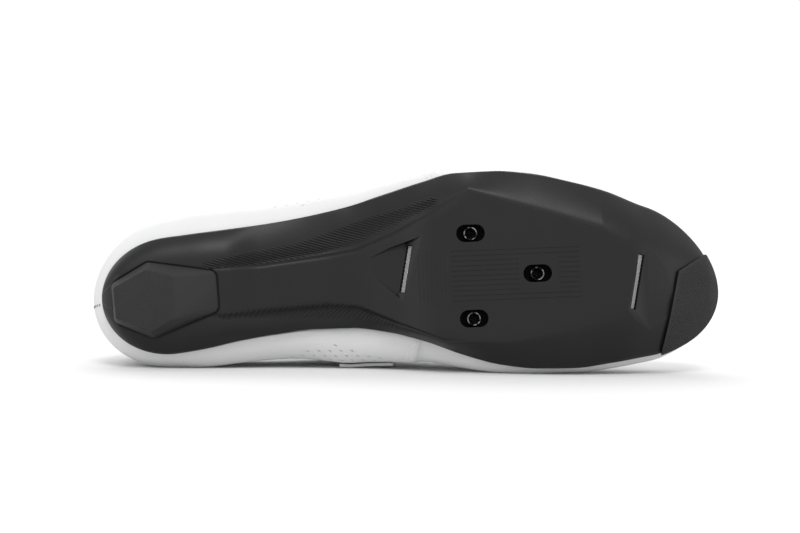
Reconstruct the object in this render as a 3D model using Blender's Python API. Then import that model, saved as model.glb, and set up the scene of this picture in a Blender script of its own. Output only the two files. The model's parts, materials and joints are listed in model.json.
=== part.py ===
# Road cycling shoe for the right foot, lying on its medial side as in the photograph.
# It is modelled standing up, +X from heel to toe, +Y to the medial side and +Z up, in metres, with
# the heel's tread and the cleat face on Z = 0. The last step lays the finished shoe down on the
# face of its convex hull that it would come to rest on.

import math
from collections import namedtuple

import bmesh
import bpy
import numpy as np
from mathutils import Matrix, Vector

# Driving dimensions
SOLE_LENGTH = 0.2674
BALL_WIDTH = 0.085
WAIST_WIDTH = 0.0485
HEEL_WIDTH = 0.0507
SOLE_EDGE = 0.0032          # height of the sole's side wall
HEEL_LIFT = 0.0105          # heights of the sole's lower edge over the ground
WAIST_LIFT = 0.0150
BALL_LIFT = 0.0068
TOE_SPRING = 0.0240
HEEL_FACE = 0.0055          # height of the bottom round the heel pad
SPINE_LIFT = 0.0120         # height of the spine under the arch
CHANNEL_DEPTH = 0.0020      # the ribbed channels on both sides of the spine
CHANNEL_WIDTH = 0.0055
GAP = 0.0003                # between pieces that touch

UPPER_WALL = 0.0018
FEATHER_INSET = 0.0012      # the upper starts this far inside the sole's edge
SIDE_BULGE = 0.0100         # how far the upper stands out over the sole's edge
BULGE_HEIGHT = 0.0105
HEEL_TAB_HEIGHT = 0.0820
ANKLE_HEIGHT = 0.0600
INSTEP_HEIGHT = 0.0970
CONE_HEIGHT = 0.1120        # top of the closed last that the collar is cut from
TOE_BOX_HEIGHT = 0.0470
THROAT_WIDTH = 0.0340
QUARTER_STEP = 0.0010       # the quarters are this much thicker than the vamp
COLLAR_PADDING = 0.0028
STRAP_SKEW = 0.0085         # the straps run this far forwards on the lateral side

TONGUE_THICKNESS = 0.0030
TONGUE_WIDTH = 0.0560
TONGUE_CLEARANCE = 0.0009
INSOLE_THICKNESS = 0.0030
STRAP_THICKNESS = 0.0015
STRAP_CLEARANCE = 0.0005
INSTEP_STRAP_WIDTH = 0.0260
FOREFOOT_STRAP_WIDTH = 0.0210

CLEAT_PLACE = 0.1742        # from the heel's end to the middle of the bolt pattern
BOLT_SPREAD = 0.0367        # between the two rear bolts
BOLT_DEPTH = 0.0280         # from the rear bolts to the front one
SLOT_LENGTH = 0.0122
SLOT_WIDTH = 0.0074
NUT_OUTER = 0.0062
NUT_BORE = 0.0042
NUT_RECESS = 0.0014         # the nuts end this far above the cleat face
PLATE_THICKNESS = 0.0020
PLATE_MARGIN = 0.0050       # plate outside the nuts
POCKET_DEPTH = 0.0030

HEEL_PAD_START = 0.0052
HEEL_PAD_LENGTH = 0.0457
HEEL_PAD_WIDTH = 0.0327
HEEL_PAD_SEAT = 0.0020      # depth of its recess
HEEL_GROOVE = 0.0009        # open groove round the pad
TOE_PAD_LENGTH = 0.0261
TOE_PAD_WIDTH = 0.0430
TOE_PAD_SEAT = 0.0016
TOE_PAD_PROUD = 0.0009

ARCH_VENT_WIDTH = 0.0310    # the two vent recesses across the shoe
TOE_VENT_WIDTH = 0.0255
ARCH_VENT_DEPTH = 0.0034
TOE_VENT_DEPTH = 0.0024
VENT_SLIT_WIDTH = 0.0030
VENT_MESH_THICKNESS = 0.0008

COLUMN_STEP = 0.034         # longest step between columns, as a share of the sole's length
END_STEPS = 7               # columns in each rounded end
UPPER_ROWS = 9

# The sole from heel to toe. at is a share of SOLE_LENGTH. lateral and medial are shares of width,
# and give the outline before its ends are rounded. rim is a share of lift.
Section = namedtuple("Section", "at width lateral medial lift rim")
SECTIONS = [
    Section(0.00, HEEL_WIDTH, 0.463, 0.575, HEEL_LIFT, 1.24),
    Section(0.10, HEEL_WIDTH, 0.456, 0.550, HEEL_LIFT, 1.00),
    Section(0.16, HEEL_WIDTH, 0.481, 0.515, HEEL_LIFT, 1.02),
    Section(0.22, HEEL_WIDTH, 0.513, 0.452, WAIST_LIFT, 0.82),
    Section(0.28, WAIST_WIDTH, 0.575, 0.423, WAIST_LIFT, 0.94),
    Section(0.34, WAIST_WIDTH, 0.627, 0.392, WAIST_LIFT, 1.00),
    Section(0.40, WAIST_WIDTH, 0.693, 0.394, WAIST_LIFT, 1.00),
    Section(0.46, WAIST_WIDTH, 0.784, 0.445, WAIST_LIFT, 0.88),
    Section(0.52, BALL_WIDTH, 0.498, 0.311, WAIST_LIFT, 0.69),
    Section(0.58, BALL_WIDTH, 0.538, 0.388, BALL_LIFT, 1.20),
    Section(0.64, BALL_WIDTH, 0.539, 0.447, BALL_LIFT, 1.03),
    Section(0.70, BALL_WIDTH, 0.519, 0.474, BALL_LIFT, 1.00),
    Section(0.76, BALL_WIDTH, 0.474, 0.479, BALL_LIFT, 1.12),
    Section(0.82, BALL_WIDTH, 0.419, 0.459, TOE_SPRING, 0.40),
    Section(0.88, BALL_WIDTH, 0.342, 0.430, TOE_SPRING, 0.57),
    Section(0.94, BALL_WIDTH, 0.283, 0.400, TOE_SPRING, 0.79),
    Section(1.00, BALL_WIDTH, 0.228, 0.389, TOE_SPRING, 1.00),
]

# The raised middle of the bottom: spine, then cleat plateau. lateral and medial are its edges as
# shares of BALL_WIDTH, face is its height as a share of lift, channel and side shape what is beside it.
Keel = namedtuple("Keel", "at lateral medial lift face channel side")
KEEL = [
    Keel(0.000, 0.090, 0.130, HEEL_FACE, 1.00, 0.15, 2.6),
    Keel(0.150, 0.090, 0.130, HEEL_FACE, 1.00, 0.20, 2.6),
    Keel(0.199, 0.088, 0.133, HEEL_FACE, 1.05, 0.50, 2.4),
    Keel(0.258, 0.094, 0.111, SPINE_LIFT, 0.80, 0.90, 2.2),
    Keel(0.365, 0.132, 0.093, SPINE_LIFT, 1.00, 1.00, 2.0),
    Keel(0.415, 0.153, 0.112, SPINE_LIFT, 0.88, 1.00, 2.0),
    Keel(0.477, 0.225, 0.205, SPINE_LIFT, 0.54, 0.90, 1.8),
    Keel(0.550, 0.338, 0.309, SPINE_LIFT, 0.06, 0.30, 1.5),
    Keel(0.599, 0.435, 0.325, SPINE_LIFT, 0.00, 0.12, 1.2),
    Keel(0.661, 0.372, 0.330, SPINE_LIFT, 0.00, 0.12, 1.2),
    Keel(0.811, 0.216, 0.244, TOE_SPRING, 0.00, 0.12, 1.3),
    Keel(0.849, 0.130, 0.205, TOE_SPRING, 0.03, 0.12, 1.7),
    Keel(0.900, 0.060, 0.150, TOE_SPRING, 0.24, 0.12, 1.9),
    Keel(0.950, 0.020, 0.120, TOE_SPRING, 0.55, 0.12, 1.9),
    Keel(1.000, 0.000, 0.110, TOE_SPRING, 0.90, 0.12, 1.9),
]

# The upper's fullest line: shares of SIDE_BULGE and BULGE_HEIGHT. inward, up and over place the
# handles of the curve that the side follows from there to the ridge.
Side = namedtuple("Side", "at lateral medial height inward up over")
SIDES = [
    Side(0.00, 0.45, 0.45, 1.15, 0.04, 0.50, 0.60),
    Side(0.10, 0.85, 0.40, 1.05, 0.15, 0.30, 0.52),
    Side(0.16, 0.95, 0.61, 1.00, 0.16, 0.30, 0.52),
    Side(0.22, 0.90, 0.79, 1.00, 0.16, 0.30, 0.54),
    Side(0.28, 0.83, 0.93, 1.00, 0.13, 0.31, 0.58),
    Side(0.34, 0.79, 1.15, 1.00, 0.07, 0.34, 0.62),
    Side(0.40, 0.69, 1.35, 1.00, 0.05, 0.36, 0.64),
    Side(0.46, 0.55, 1.15, 0.95, 0.07, 0.36, 0.62),
    Side(0.52, 0.41, 0.85, 0.80, 0.10, 0.36, 0.60),
    Side(0.55, 0.35, 0.66, 0.70, 0.12, 0.36, 0.60),
    Side(0.58, 0.22, 0.53, 0.60, 0.13, 0.38, 0.60),
    Side(0.64, 0.16, 0.32, 0.50, 0.14, 0.38, 0.60),
    Side(0.70, 0.13, 0.19, 0.48, 0.14, 0.40, 0.60),
    Side(0.76, 0.11, 0.15, 0.48, 0.10, 0.46, 0.60),
    Side(0.82, 0.10, 0.20, 0.50, 0.05, 0.52, 0.60),
    Side(0.88, 0.10, 0.19, 0.60, 0.02, 0.55, 0.60),
    Side(0.94, 0.08, 0.12, 0.65, 0.00, 0.56, 0.60),
    Side(1.00, 0.06, 0.06, 0.65, 0.00, 0.56, 0.60),
]

# The ridge of the closed last. across is a share of BALL_WIDTH towards the medial side.
Ridge = namedtuple("Ridge", "at across of height")
RIDGE = [
    Ridge(0.10, 0.03, CONE_HEIGHT, 0.96),
    Ridge(0.20, 0.03, CONE_HEIGHT, 1.00),
    Ridge(0.30, 0.05, CONE_HEIGHT, 0.98),
    Ridge(0.38, 0.07, INSTEP_HEIGHT, 1.06),
    Ridge(0.45, 0.08, INSTEP_HEIGHT, 0.965),
    Ridge(0.52, 0.08, INSTEP_HEIGHT, 0.86),
    Ridge(0.60, 0.08, INSTEP_HEIGHT, 0.745),
    Ridge(0.68, 0.08, INSTEP_HEIGHT, 0.655),
    Ridge(0.76, 0.08, TOE_BOX_HEIGHT, 1.23),
    Ridge(0.84, 0.08, TOE_BOX_HEIGHT, 1.12),
    Ridge(0.92, 0.09, TOE_BOX_HEIGHT, 1.00),
]
RIDGE_START = 0.13          # the ridge starts this share of the length ahead of the heel's end
RIDGE_END = 0.085           # and stops this share short of the toe
HEEL_PART = 0.30            # behind this and ahead of TOE_PART the columns lean to reach it
TOE_PART = 0.75

# Where the upper is cut off: its height behind the instep, and the throat's half width in front
Collar = namedtuple("Collar", "at of lateral medial")
COLLAR = [
    Collar(0.00, HEEL_TAB_HEIGHT, 1.000, 1.000),
    Collar(0.02, HEEL_TAB_HEIGHT, 0.985, 0.985),
    Collar(0.045, HEEL_TAB_HEIGHT, 0.930, 0.935),
    Collar(0.08, ANKLE_HEIGHT, 1.140, 1.160),
    Collar(0.12, ANKLE_HEIGHT, 1.040, 1.070),
    Collar(0.18, ANKLE_HEIGHT, 0.960, 1.020),
    Collar(0.24, ANKLE_HEIGHT, 0.990, 1.050),
    Collar(0.30, ANKLE_HEIGHT, 1.120, 1.160),
    Collar(0.36, INSTEP_HEIGHT, 0.810, 0.830),
    Collar(0.41, INSTEP_HEIGHT, 0.950, 0.960),
    Collar(0.46, INSTEP_HEIGHT, 1.200, 1.200),
]
Throat = namedtuple("Throat", "at half")
THROAT = [
    Throat(0.30, 0.56),
    Throat(0.40, 0.50),
    Throat(0.50, 0.42),
    Throat(0.58, 0.34),
    Throat(0.64, 0.24),
    Throat(0.67, 0.14),
]
THROAT_END = 0.690          # the front point of the throat

# The quarters' front edges at the ridge's scale, and the length of the step down to the vamp
QUARTER_FRONT = {-1: 0.517, 1: 0.545}
STEP_RUN = 0.004

# Straps: where the middle crosses the ridge, the first row on each side, and the width
Strap = namedtuple("Strap", "name middle width lateral_row medial_row")
STRAPS = [
    Strap("instep_strap", 0.460, INSTEP_STRAP_WIDTH, 5, 3),
    Strap("forefoot_strap", 0.612, FOREFOOT_STRAP_WIDTH, 5, 5),
]

# Heel pad corners, as shares of its length from the back and of its width towards the medial side
Corner = namedtuple("Corner", "along across")
PAD_OUTLINE = [
    Corner(0.344, -0.364),
    Corner(0.985, -0.208),
    Corner(1.000, 0.309),
    Corner(0.379, 0.636),
    Corner(0.018, 0.404),
    Corner(0.000, -0.095),
]
PAD_TREAD = [
    Corner(0.337, -0.251),
    Corner(0.547, -0.159),
    Corner(0.569, 0.416),
    Corner(0.383, 0.563),
    Corner(0.050, 0.367),
    Corner(0.031, -0.028),
]
PAD_FRONT = [Corner(0.965, -0.150), Corner(0.975, 0.255)]
PAD_CORNER_RADIUS = 0.0030
PAD_SIDE = 0.90             # heights of the pad's side edge and front edge, shares of HEEL_FACE
PAD_NOSE = 0.76

# Toe pad border, as shares of its length back from the tip and of its width towards the medial side
TOE_PAD_BORDER = [Corner(0.188, -0.165), Corner(0.674, 0.015), Corner(1.00, 0.80)]

# Densities for the balance of the empty shoe, kg per cubic metre
NYLON = 1100
RUBBER = 1200
MICROFIBRE = 900
TEXTILE = 300
STEEL = 7850


# Reading the tables

def curve(rows, column, at):
    """A smooth curve through one column of a table, flat beyond its ends."""
    x = [row.at for row in rows]
    y = [column(row) for row in rows]
    if at <= x[0]:
        return y[0]
    if at >= x[-1]:
        return y[-1]
    i = max(k for k in range(len(x) - 1) if x[k] <= at)
    slopes = [(y[k + 1] - y[k]) / (x[k + 1] - x[k]) for k in range(len(x) - 1)]

    def tangent(k):
        if k == 0 or k == len(x) - 1:
            return slopes[min(k, len(slopes) - 1)]
        before, after = slopes[k - 1], slopes[k]
        if before * after <= 0:
            return 0.0
        return 2 * before * after / (before + after)

    h = x[i + 1] - x[i]
    t = (at - x[i]) / h
    return (
        y[i] * (1 + 2 * t) * (1 - t) ** 2
        + y[i + 1] * t * t * (3 - 2 * t)
        + h * tangent(i) * t * (1 - t) ** 2
        - h * tangent(i + 1) * t * t * (1 - t)
    )


def straight(rows, column, at):
    """The same with straight lines, for creased edges."""
    return float(np.interp(at, [row.at for row in rows], [column(row) for row in rows]))


# The sole's form

HEEL_ROUND = 0.120          # shares of the length that the round ends take
TOE_ROUND = 0.112
HEEL_NOSE = 0.030           # where the ends close, a share of BALL_WIDTH towards the medial side
TOE_NOSE = 0.101
HEEL_LIP = 0.04             # shares of the length over which the bottom curves up to the ends
TOE_LIP = 0.02
CHANNEL_LEAST = 0.1         # width that a channel keeps where it has faded out
CHANNEL_MOST = 0.4          # the share of the space beside the flat that it may take
CHANNEL_BEND = 0.3          # its deepest line, as a share of its width
CHANNEL_LIP = 0.1           # what its outer edge rises again


def end_factor(at):
    """1 along the shoe, falling to 0 at both ends as an ellipse does."""
    if at < HEEL_ROUND:
        return math.sqrt(max(0.0, 1 - (1 - at / HEEL_ROUND) ** 2))
    if at > 1 - TOE_ROUND:
        return math.sqrt(max(0.0, 1 - (1 - (1 - at) / TOE_ROUND) ** 2))
    return 1.0


def rounded_in(at, side, offset):
    """A side's offset from the axis, drawn in towards the nose at the rounded ends."""
    nose = side * BALL_WIDTH * (HEEL_NOSE if at < 0.5 else TOE_NOSE)
    return nose + (offset - nose) * end_factor(at)


def half_width(at, side, grow=0.0):
    """Sole edge from the axis on one side: side is -1 for lateral and 1 for medial."""
    def width(row):
        return row.width * (row.lateral if side < 0 else row.medial)
    return rounded_in(at, side, curve(SECTIONS, width, at) + grow)


def along(at, grow=0.0):
    """X of a section. A grown form is longer at both ends."""
    return SOLE_LENGTH * at + grow * (2 * at - 1)


def rim_height(at):
    return curve(SECTIONS, lambda row: row.lift * row.rim, at)


def top_height(at):
    return rim_height(at) + SOLE_EDGE


def keel_height(at):
    face = curve(KEEL, lambda row: row.lift * row.face, at)
    lip = 1 - min(1.0, at / HEEL_LIP, (1 - at) / TOE_LIP)
    return face + (rim_height(at) - face) * lip ** 2


ROUNDING = (0.45, 0.78, 0.94, 1.0)  # columns between the channel and the rim


def bottom_profile(at, grow=0.0):
    """(y, z) across the bottom from the lateral rim to the medial one, lowered by grow."""
    points = []
    keel, rim = keel_height(at), rim_height(at)
    share = curve(KEEL, lambda row: row.channel, at)
    power = curve(KEEL, lambda row: row.side, at)
    for side in (-1, 1):
        edge = half_width(at, side, grow)
        flat = straight(KEEL, lambda row: BALL_WIDTH * (row.lateral if side < 0 else row.medial), at)
        flat = rounded_in(at, side, flat)
        channel = CHANNEL_WIDTH * (CHANNEL_LEAST + (1 - CHANNEL_LEAST) * share)
        channel = min(channel, CHANNEL_MOST * (edge - flat))
        depth = CHANNEL_DEPTH * share
        outer = flat + channel
        one = [
            (flat, keel),
            (flat + channel * CHANNEL_BEND, keel + depth),
            (outer, keel + depth * (1 - CHANNEL_LIP)),
        ]
        low = one[-1][1]
        one += [(outer + (edge - outer) * r, low + (rim - low) * r ** power) for r in ROUNDING]
        points.append([(side * y, z - grow) for y, z in one])
    lateral, medial = points
    middle = ((lateral[0][0] + medial[0][0]) / 2, keel - grow)
    return lateral[::-1] + [middle] + medial


def bottom_height(x, y):
    profile = bottom_profile(x / SOLE_LENGTH)
    return float(np.interp(y, [p[0] for p in profile], [p[1] for p in profile]))


def stations():
    """Shares of the length where the columns stand: close at the round ends, with the strap edges."""
    ends = [1 - math.cos(math.pi / 2 * k / END_STEPS) for k in range(END_STEPS + 1)]
    fixed = [HEEL_ROUND * e for e in ends] + [1 - TOE_ROUND * e for e in ends] + [THROAT_END]
    for front in QUARTER_FRONT.values():
        fixed += [front, front + STEP_RUN]
    for strap in STRAPS:
        half = strap.width / SOLE_LENGTH / 2
        fixed += [strap.middle - half, strap.middle + half]
    fixed = sorted(fixed)
    found = []
    for a, b in zip(fixed, fixed[1:]):
        count = max(1, math.ceil((b - a) / COLUMN_STEP - 1e-6))
        found += [a + (b - a) * k / count for k in range(count)]
    return found + [fixed[-1]]


# The upper's form

SKEW_START = 0.20           # the shift grows from here over SKEW_RISE, and is gone at SKEW_END
SKEW_RISE = 0.22
SKEW_FALL = 0.15
SKEW_END = 0.80


def share_between(value, start, run):
    """0 before start, 1 from start + run on, straight between them."""
    return min(max((value - start) / run, 0.0), 1.0)


def skew(at):
    """Shift between the two sides at the instep, which makes the straps run slantwise."""
    reach = share_between(at, SKEW_START, SKEW_RISE) * share_between(-at, -SKEW_END, SKEW_FALL)
    return STRAP_SKEW / SOLE_LENGTH * reach * reach * (3 - 2 * reach)


def edge_point(at, side, out):
    """Point of the sole's outline, moved outwards by out, square to the outline."""
    step = 1e-4
    a = min(max(at, step), 1 - step)
    ahead, behind = min(a + step, 1.0), max(a - step, 0.0)
    widening = half_width(ahead, side) - half_width(behind, side)
    run = Vector((SOLE_LENGTH * (ahead - behind), side * widening, 0))
    normal = Vector((run.y * -side, run.x * side, 0)).normalized()
    if at < 1e-6 or at > 1 - 1e-6:
        normal = Vector((-1 if at < 0.5 else 1, 0, 0))
    return Vector((SOLE_LENGTH * at, side * half_width(at, side), 0)) + normal * out


def ridge_point(at):
    place = at
    if at < HEEL_PART:
        place = at + RIDGE_START * (1 - at / HEEL_PART) ** 2
    if at > TOE_PART:
        place = at - RIDGE_END * ((at - TOE_PART) / (1 - TOE_PART)) ** 2
    height = curve(RIDGE, lambda row: row.of * row.height, place)
    across = curve(RIDGE, lambda row: row.across, place) * BALL_WIDTH
    return Vector((SOLE_LENGTH * place, across, height))


LOW_PART = 0.2              # the share of a column below the fullest line
LOW_TURN = 30               # degrees of the arc that this part starts with; it ends upright


def quarter_step(at, side):
    """The quarter's extra thickness, which ends in a step at its front edge."""
    return QUARTER_STEP * (1 - share_between(at, QUARTER_FRONT[side], STEP_RUN))


PADDING_START = 0.50        # the padding grows over PADDING_RISE, from this share of a column's height
PADDING_RISE = 0.25
PADDING_FRONT = 0.32        # it ends here, and fades over PADDING_FADE of the length
PADDING_FADE = 0.07
PADDING_EDGE = 0.35         # what is left of it at the collar's edge


def collar_padding(at, share):
    """Padding inside the collar: share is 0 at the sole and 1 at the collar's edge."""
    high = share_between(share, PADDING_START, PADDING_RISE)
    back = share_between(-at, -PADDING_FRONT, PADDING_FADE)
    edge = PADDING_EDGE if share > 0.99 else 1.0
    return COLLAR_PADDING * high * back * edge


HANDLES = (lambda row: row.inward, lambda row: row.up, lambda row: row.over)


def column(at, side):
    """What one column needs: feather point, fullest point, ridge point, and the curve's handles."""
    own = at - side * skew(at)
    bulge = curve(SIDES, lambda row: row.lateral if side < 0 else row.medial, own) * SIDE_BULGE
    feather = edge_point(own, side, -FEATHER_INSET)
    feather.z = top_height(own) + GAP
    full = edge_point(own, side, bulge)
    full.z = feather.z + curve(SIDES, lambda row: row.height, own) * BULGE_HEIGHT
    handles = [curve(SIDES, read, own) for read in HANDLES]
    return feather, full, ridge_point(at), handles


def arch(t, inward, up, over):
    """Lean and rise along a Bezier curve from the fullest line at (1, 0) to the ridge at (0, 1)."""
    s = 1 - t
    lean = s ** 3 + 3 * s * s * t * (1 - inward) + 3 * s * t * t * over
    rise = 3 * s * s * t * up + 3 * s * t * t + t ** 3
    return lean, rise


def last_surface(at, side, q):
    """A point of the outer surface: q is 0 at the sole, 1 at the ridge."""
    feather, full, ridge, handles = column(at, side)
    if q <= LOW_PART:
        start = math.radians(LOW_TURN)
        turn = start + q / LOW_PART * (math.pi / 2 - start)
        rise = (math.cos(start) - math.cos(turn)) / math.cos(start)
        reach = (math.sin(turn) - math.sin(start)) / (1 - math.sin(start))
        point = feather + (full - feather) * reach
        point.z = feather.z + (full.z - feather.z) * rise
        return point
    lean, rise = arch((q - LOW_PART) / (1 - LOW_PART), *handles)
    point = ridge + (full - ridge) * lean
    point.z = full.z + (ridge.z - full.z) * rise
    return point


def shell_point(at, side, q, out):
    """The same point moved out of the surface, square to it."""
    if out == 0:
        return last_surface(at, side, q)
    step = 2e-3
    low, high = max(q - step, 0.0), min(q + step, 1.0)
    up = last_surface(at, side, high) - last_surface(at, side, low)
    back, front = max(at - step, 0.0), min(at + step, 1.0)
    run = last_surface(front, side, q) - last_surface(back, side, q)
    if at < 1e-6 or at > 1 - 1e-6:
        run = Vector((0, side, 0)) * (1 if at < 0.5 else -1)
    normal = (run.cross(up) * side * -1).normalized()
    if q > 1 - 1e-6:
        normal = Vector((normal.x, 0, normal.z)).normalized()
    if q < 1e-6:
        normal = Vector((normal.x, normal.y, 0)).normalized()
    return last_surface(at, side, q) + normal * out


def share_where(handles, passed):
    """The q above the fullest line where passed(lean, rise) turns true."""
    low, high = 0.0, 1.0
    for _ in range(24):
        middle = (low + high) / 2
        if passed(*arch(middle, *handles)):
            high = middle
        else:
            low = middle
    return LOW_PART + (1 - LOW_PART) * high


def share_at_width(at, side, half):
    """The q where a column is half away from the ridge, seen from above."""
    feather, full, ridge, handles = column(at, side)
    reach = (full.xy - ridge.xy).length
    return share_where(handles, lambda lean, rise: lean * reach <= half)


def share_at_height(at, side, height):
    feather, full, ridge, handles = column(at, side)
    return share_where(handles, lambda lean, rise: full.z + rise * (ridge.z - full.z) >= height)


def cut_share(at, side):
    """The q where the upper ends: at the collar, at the throat's edge or at the ridge."""
    if at >= THROAT_END - 1e-6:
        return 1.0
    half = THROAT_WIDTH * curve(THROAT, lambda row: row.half, at)
    cut = share_at_width(at, side, half)
    if at < COLLAR[-1].at:
        level = curve(COLLAR, lambda row: row.of * (row.lateral if side < 0 else row.medial), at)
        cut = min(cut, share_at_height(at, side, level))
    return cut


# Making meshes

def new_object(name, mesh, collection, material=None):
    item = bpy.data.objects.new(name, mesh)
    collection.objects.link(item)
    if material:
        mesh.materials.append(material)
    return item


def thicken(name, upper_side, lower_side, faces, collection, material=None):
    """A closed solid from two sheets with the same faces. Open edges get a wall."""
    count = len(upper_side)
    drawn = set()
    for face in faces:
        drawn.update(zip(face, face[1:] + face[:1]))
    solid = [list(face) for face in faces]
    solid += [[v + count for v in reversed(face)] for face in faces]
    solid += [[b, a, a + count, b + count] for a, b in drawn if (b, a) not in drawn]
    mesh = bpy.data.meshes.new(name)
    mesh.from_pydata([tuple(p) for p in upper_side + lower_side], [], solid)
    bm = bmesh.new()
    bm.from_mesh(mesh)
    bmesh.ops.remove_doubles(bm, verts=bm.verts, dist=1e-6)
    bmesh.ops.recalc_face_normals(bm, faces=bm.faces)
    bm.to_mesh(mesh)
    bm.free()
    mesh.validate()
    return new_object(name, mesh, collection, material)


def grid_faces(rows, columns):
    return [
        [r * columns + c, r * columns + c + 1, (r + 1) * columns + c + 1, (r + 1) * columns + c]
        for r in range(rows - 1)
        for c in range(columns - 1)
    ]


def hull(name, points, collection, material=None):
    """The convex solid round some points."""
    bm = bmesh.new()
    for point in points:
        bm.verts.new(point)
    bmesh.ops.convex_hull(bm, input=bm.verts)
    loose = [v for v in bm.verts if not v.link_faces]
    bmesh.ops.delete(bm, geom=loose, context="VERTS")
    bmesh.ops.dissolve_limit(bm, angle_limit=math.radians(0.5), verts=bm.verts, edges=bm.edges)
    bmesh.ops.recalc_face_normals(bm, faces=bm.faces)
    mesh = bpy.data.meshes.new(name)
    bm.to_mesh(mesh)
    bm.free()
    return new_object(name, mesh, collection, material)


def boolean(target, tool, operation="DIFFERENCE"):
    """A live Boolean with the exact solver. The tool stays in the cutters' collection."""
    modifier = target.modifiers.new(tool.name, "BOOLEAN")
    modifier.object = tool
    modifier.operation = operation
    modifier.solver = "EXACT"
    return target


def circle(middle, radius, height, sides=24):
    return [
        Vector((middle.x + radius * math.cos(a), middle.y + radius * math.sin(a), height))
        for a in (2 * math.pi * k / sides for k in range(sides))
    ]


def rounded(corners, radius, steps=4):
    """A convex polygon of 2D points with round corners."""
    found = []
    count = len(corners)
    for i, corner in enumerate(corners):
        before = (corners[i - 1] - corner).normalized()
        after = (corners[(i + 1) % count] - corner).normalized()
        half = before.angle(after) / 2
        middle = corner + (before + after).normalized() * radius / math.sin(half)
        start = corner + before * radius / math.tan(half) - middle
        end = corner + after * radius / math.tan(half) - middle
        turn = start.angle_signed(end)
        for k in range(steps + 1):
            found.append(middle + Matrix.Rotation(-turn * k / steps, 2) @ start)
    return found


def grown(corners, distance):
    """A convex polygon moved outwards by distance on every side."""
    middle = sum(corners, Vector((0, 0))) / len(corners)
    count = len(corners)
    lines = []
    for i in range(count):
        a, b = corners[i], corners[(i + 1) % count]
        normal = Vector((b.y - a.y, a.x - b.x)).normalized()
        if normal.dot(a - middle) < 0:
            normal = -normal
        lines.append((normal, normal.dot(a) + distance))
    found = []
    for i in range(count):
        (n1, d1), (n2, d2) = lines[i - 1], lines[i]
        det = n1.x * n2.y - n1.y * n2.x
        found.append(Vector(((d1 * n2.y - d2 * n1.y) / det, (n1.x * d2 - n2.x * d1) / det)))
    return found


def at_height(points, height):
    return [Vector((p.x, p.y, height)) for p in points]


# Materials

def material(name, colour, roughness, metallic=0.0):
    found = bpy.data.materials.new(name)
    found.use_nodes = True
    shader = found.node_tree.nodes["Principled BSDF"]
    shader.inputs["Base Color"].default_value = (*colour, 1)
    shader.inputs["Roughness"].default_value = roughness
    shader.inputs["Metallic"].default_value = metallic
    found.diffuse_color = (*colour, 1)
    return found


# The pieces

def sole_form(name, collection, grow=0.0, finish=None):
    """The whole sole as one closed form, grown or shrunk at the outline and the bottom."""
    top, bottom, index, points = [], [], {}, []
    places = stations()
    columns = len(bottom_profile(0.5))
    for i, at in enumerate(places):
        for j, (y, z) in enumerate(bottom_profile(at, grow)):
            key = (i, 0) if i in (0, len(places) - 1) else (i, j)
            if key not in index:
                index[key] = len(top)
                top.append(Vector((along(at, grow), y, top_height(at))))
                bottom.append(Vector((along(at, grow), y, z)))
            points.append(index[key])
    faces = []
    for face in grid_faces(len(places), columns):
        ids = []
        for k in face:
            if points[k] not in ids:
                ids.append(points[k])
        if len(ids) > 2:
            faces.append(ids)
    return thicken(name, bottom, top, faces, collection, finish)


def cleat_points():
    """The three bolt places on the cleat face."""
    back = CLEAT_PLACE - BOLT_DEPTH / 2
    return [
        Vector((back, -BOLT_SPREAD / 2, 0)),
        Vector((back, BOLT_SPREAD / 2, 0)),
        Vector((CLEAT_PLACE + BOLT_DEPTH / 2, 0, 0)),
    ]


def pocket_floor():
    return top_height(CLEAT_PLACE / SOLE_LENGTH) - POCKET_DEPTH


def slide_range():
    return (SLOT_LENGTH - NUT_OUTER) / 2 - GAP


def make_cleat_plate(parts, cutters, finish):
    """Threaded plate behind the slots: it slides along the shoe with its three nuts."""
    low = pocket_floor() + GAP
    high = low + PLATE_THICKNESS
    radius = NUT_OUTER / 2 + PLATE_MARGIN
    points = [p for place in cleat_points() for z in (low, high) for p in circle(place, radius, z)]
    plate = hull("cleat_plate", points, parts, finish)
    for k, place in enumerate(cleat_points()):
        boss_points = [p for z in (NUT_RECESS, high - GAP) for p in circle(place, NUT_OUTER / 2, z)]
        boolean(plate, hull(f"nut_{k}", boss_points, cutters), "UNION")
    for k, place in enumerate(cleat_points()):
        bore_points = [p for z in (-SLOT_WIDTH, high + SLOT_WIDTH) for p in circle(place, NUT_BORE / 2, z)]
        boolean(plate, hull(f"nut_bore_{k}", bore_points, cutters))
    return plate


def cut_cleat_bed(outsole, cutters):
    """Three slots through the sole and the plate's pocket above them."""
    travel = Vector((slide_range(), 0, 0))
    margin = NUT_OUTER / 2 + PLATE_MARGIN + 2 * GAP
    floor = pocket_floor()
    points = []
    for place in cleat_points():
        for move in (-travel, travel):
            for z in (floor, floor + 3 * POCKET_DEPTH):
                points += circle(place + move, margin, z)
    boolean(outsole, hull("plate_pocket", points, cutters))
    for k, place in enumerate(cleat_points()):
        half = Vector(((SLOT_LENGTH - SLOT_WIDTH) / 2, 0, 0))
        points = []
        for end in (place - half, place + half):
            for z in (-SLOT_WIDTH, floor + POCKET_DEPTH / 2):
                points += circle(end, SLOT_WIDTH / 2, z, 16)
        boolean(outsole, hull(f"slot_{k}", points, cutters))


def pad_polygon(corners):
    return [
        Vector((HEEL_PAD_START + HEEL_PAD_LENGTH * c.along, HEEL_PAD_WIDTH * c.across)) for c in corners
    ]


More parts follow.
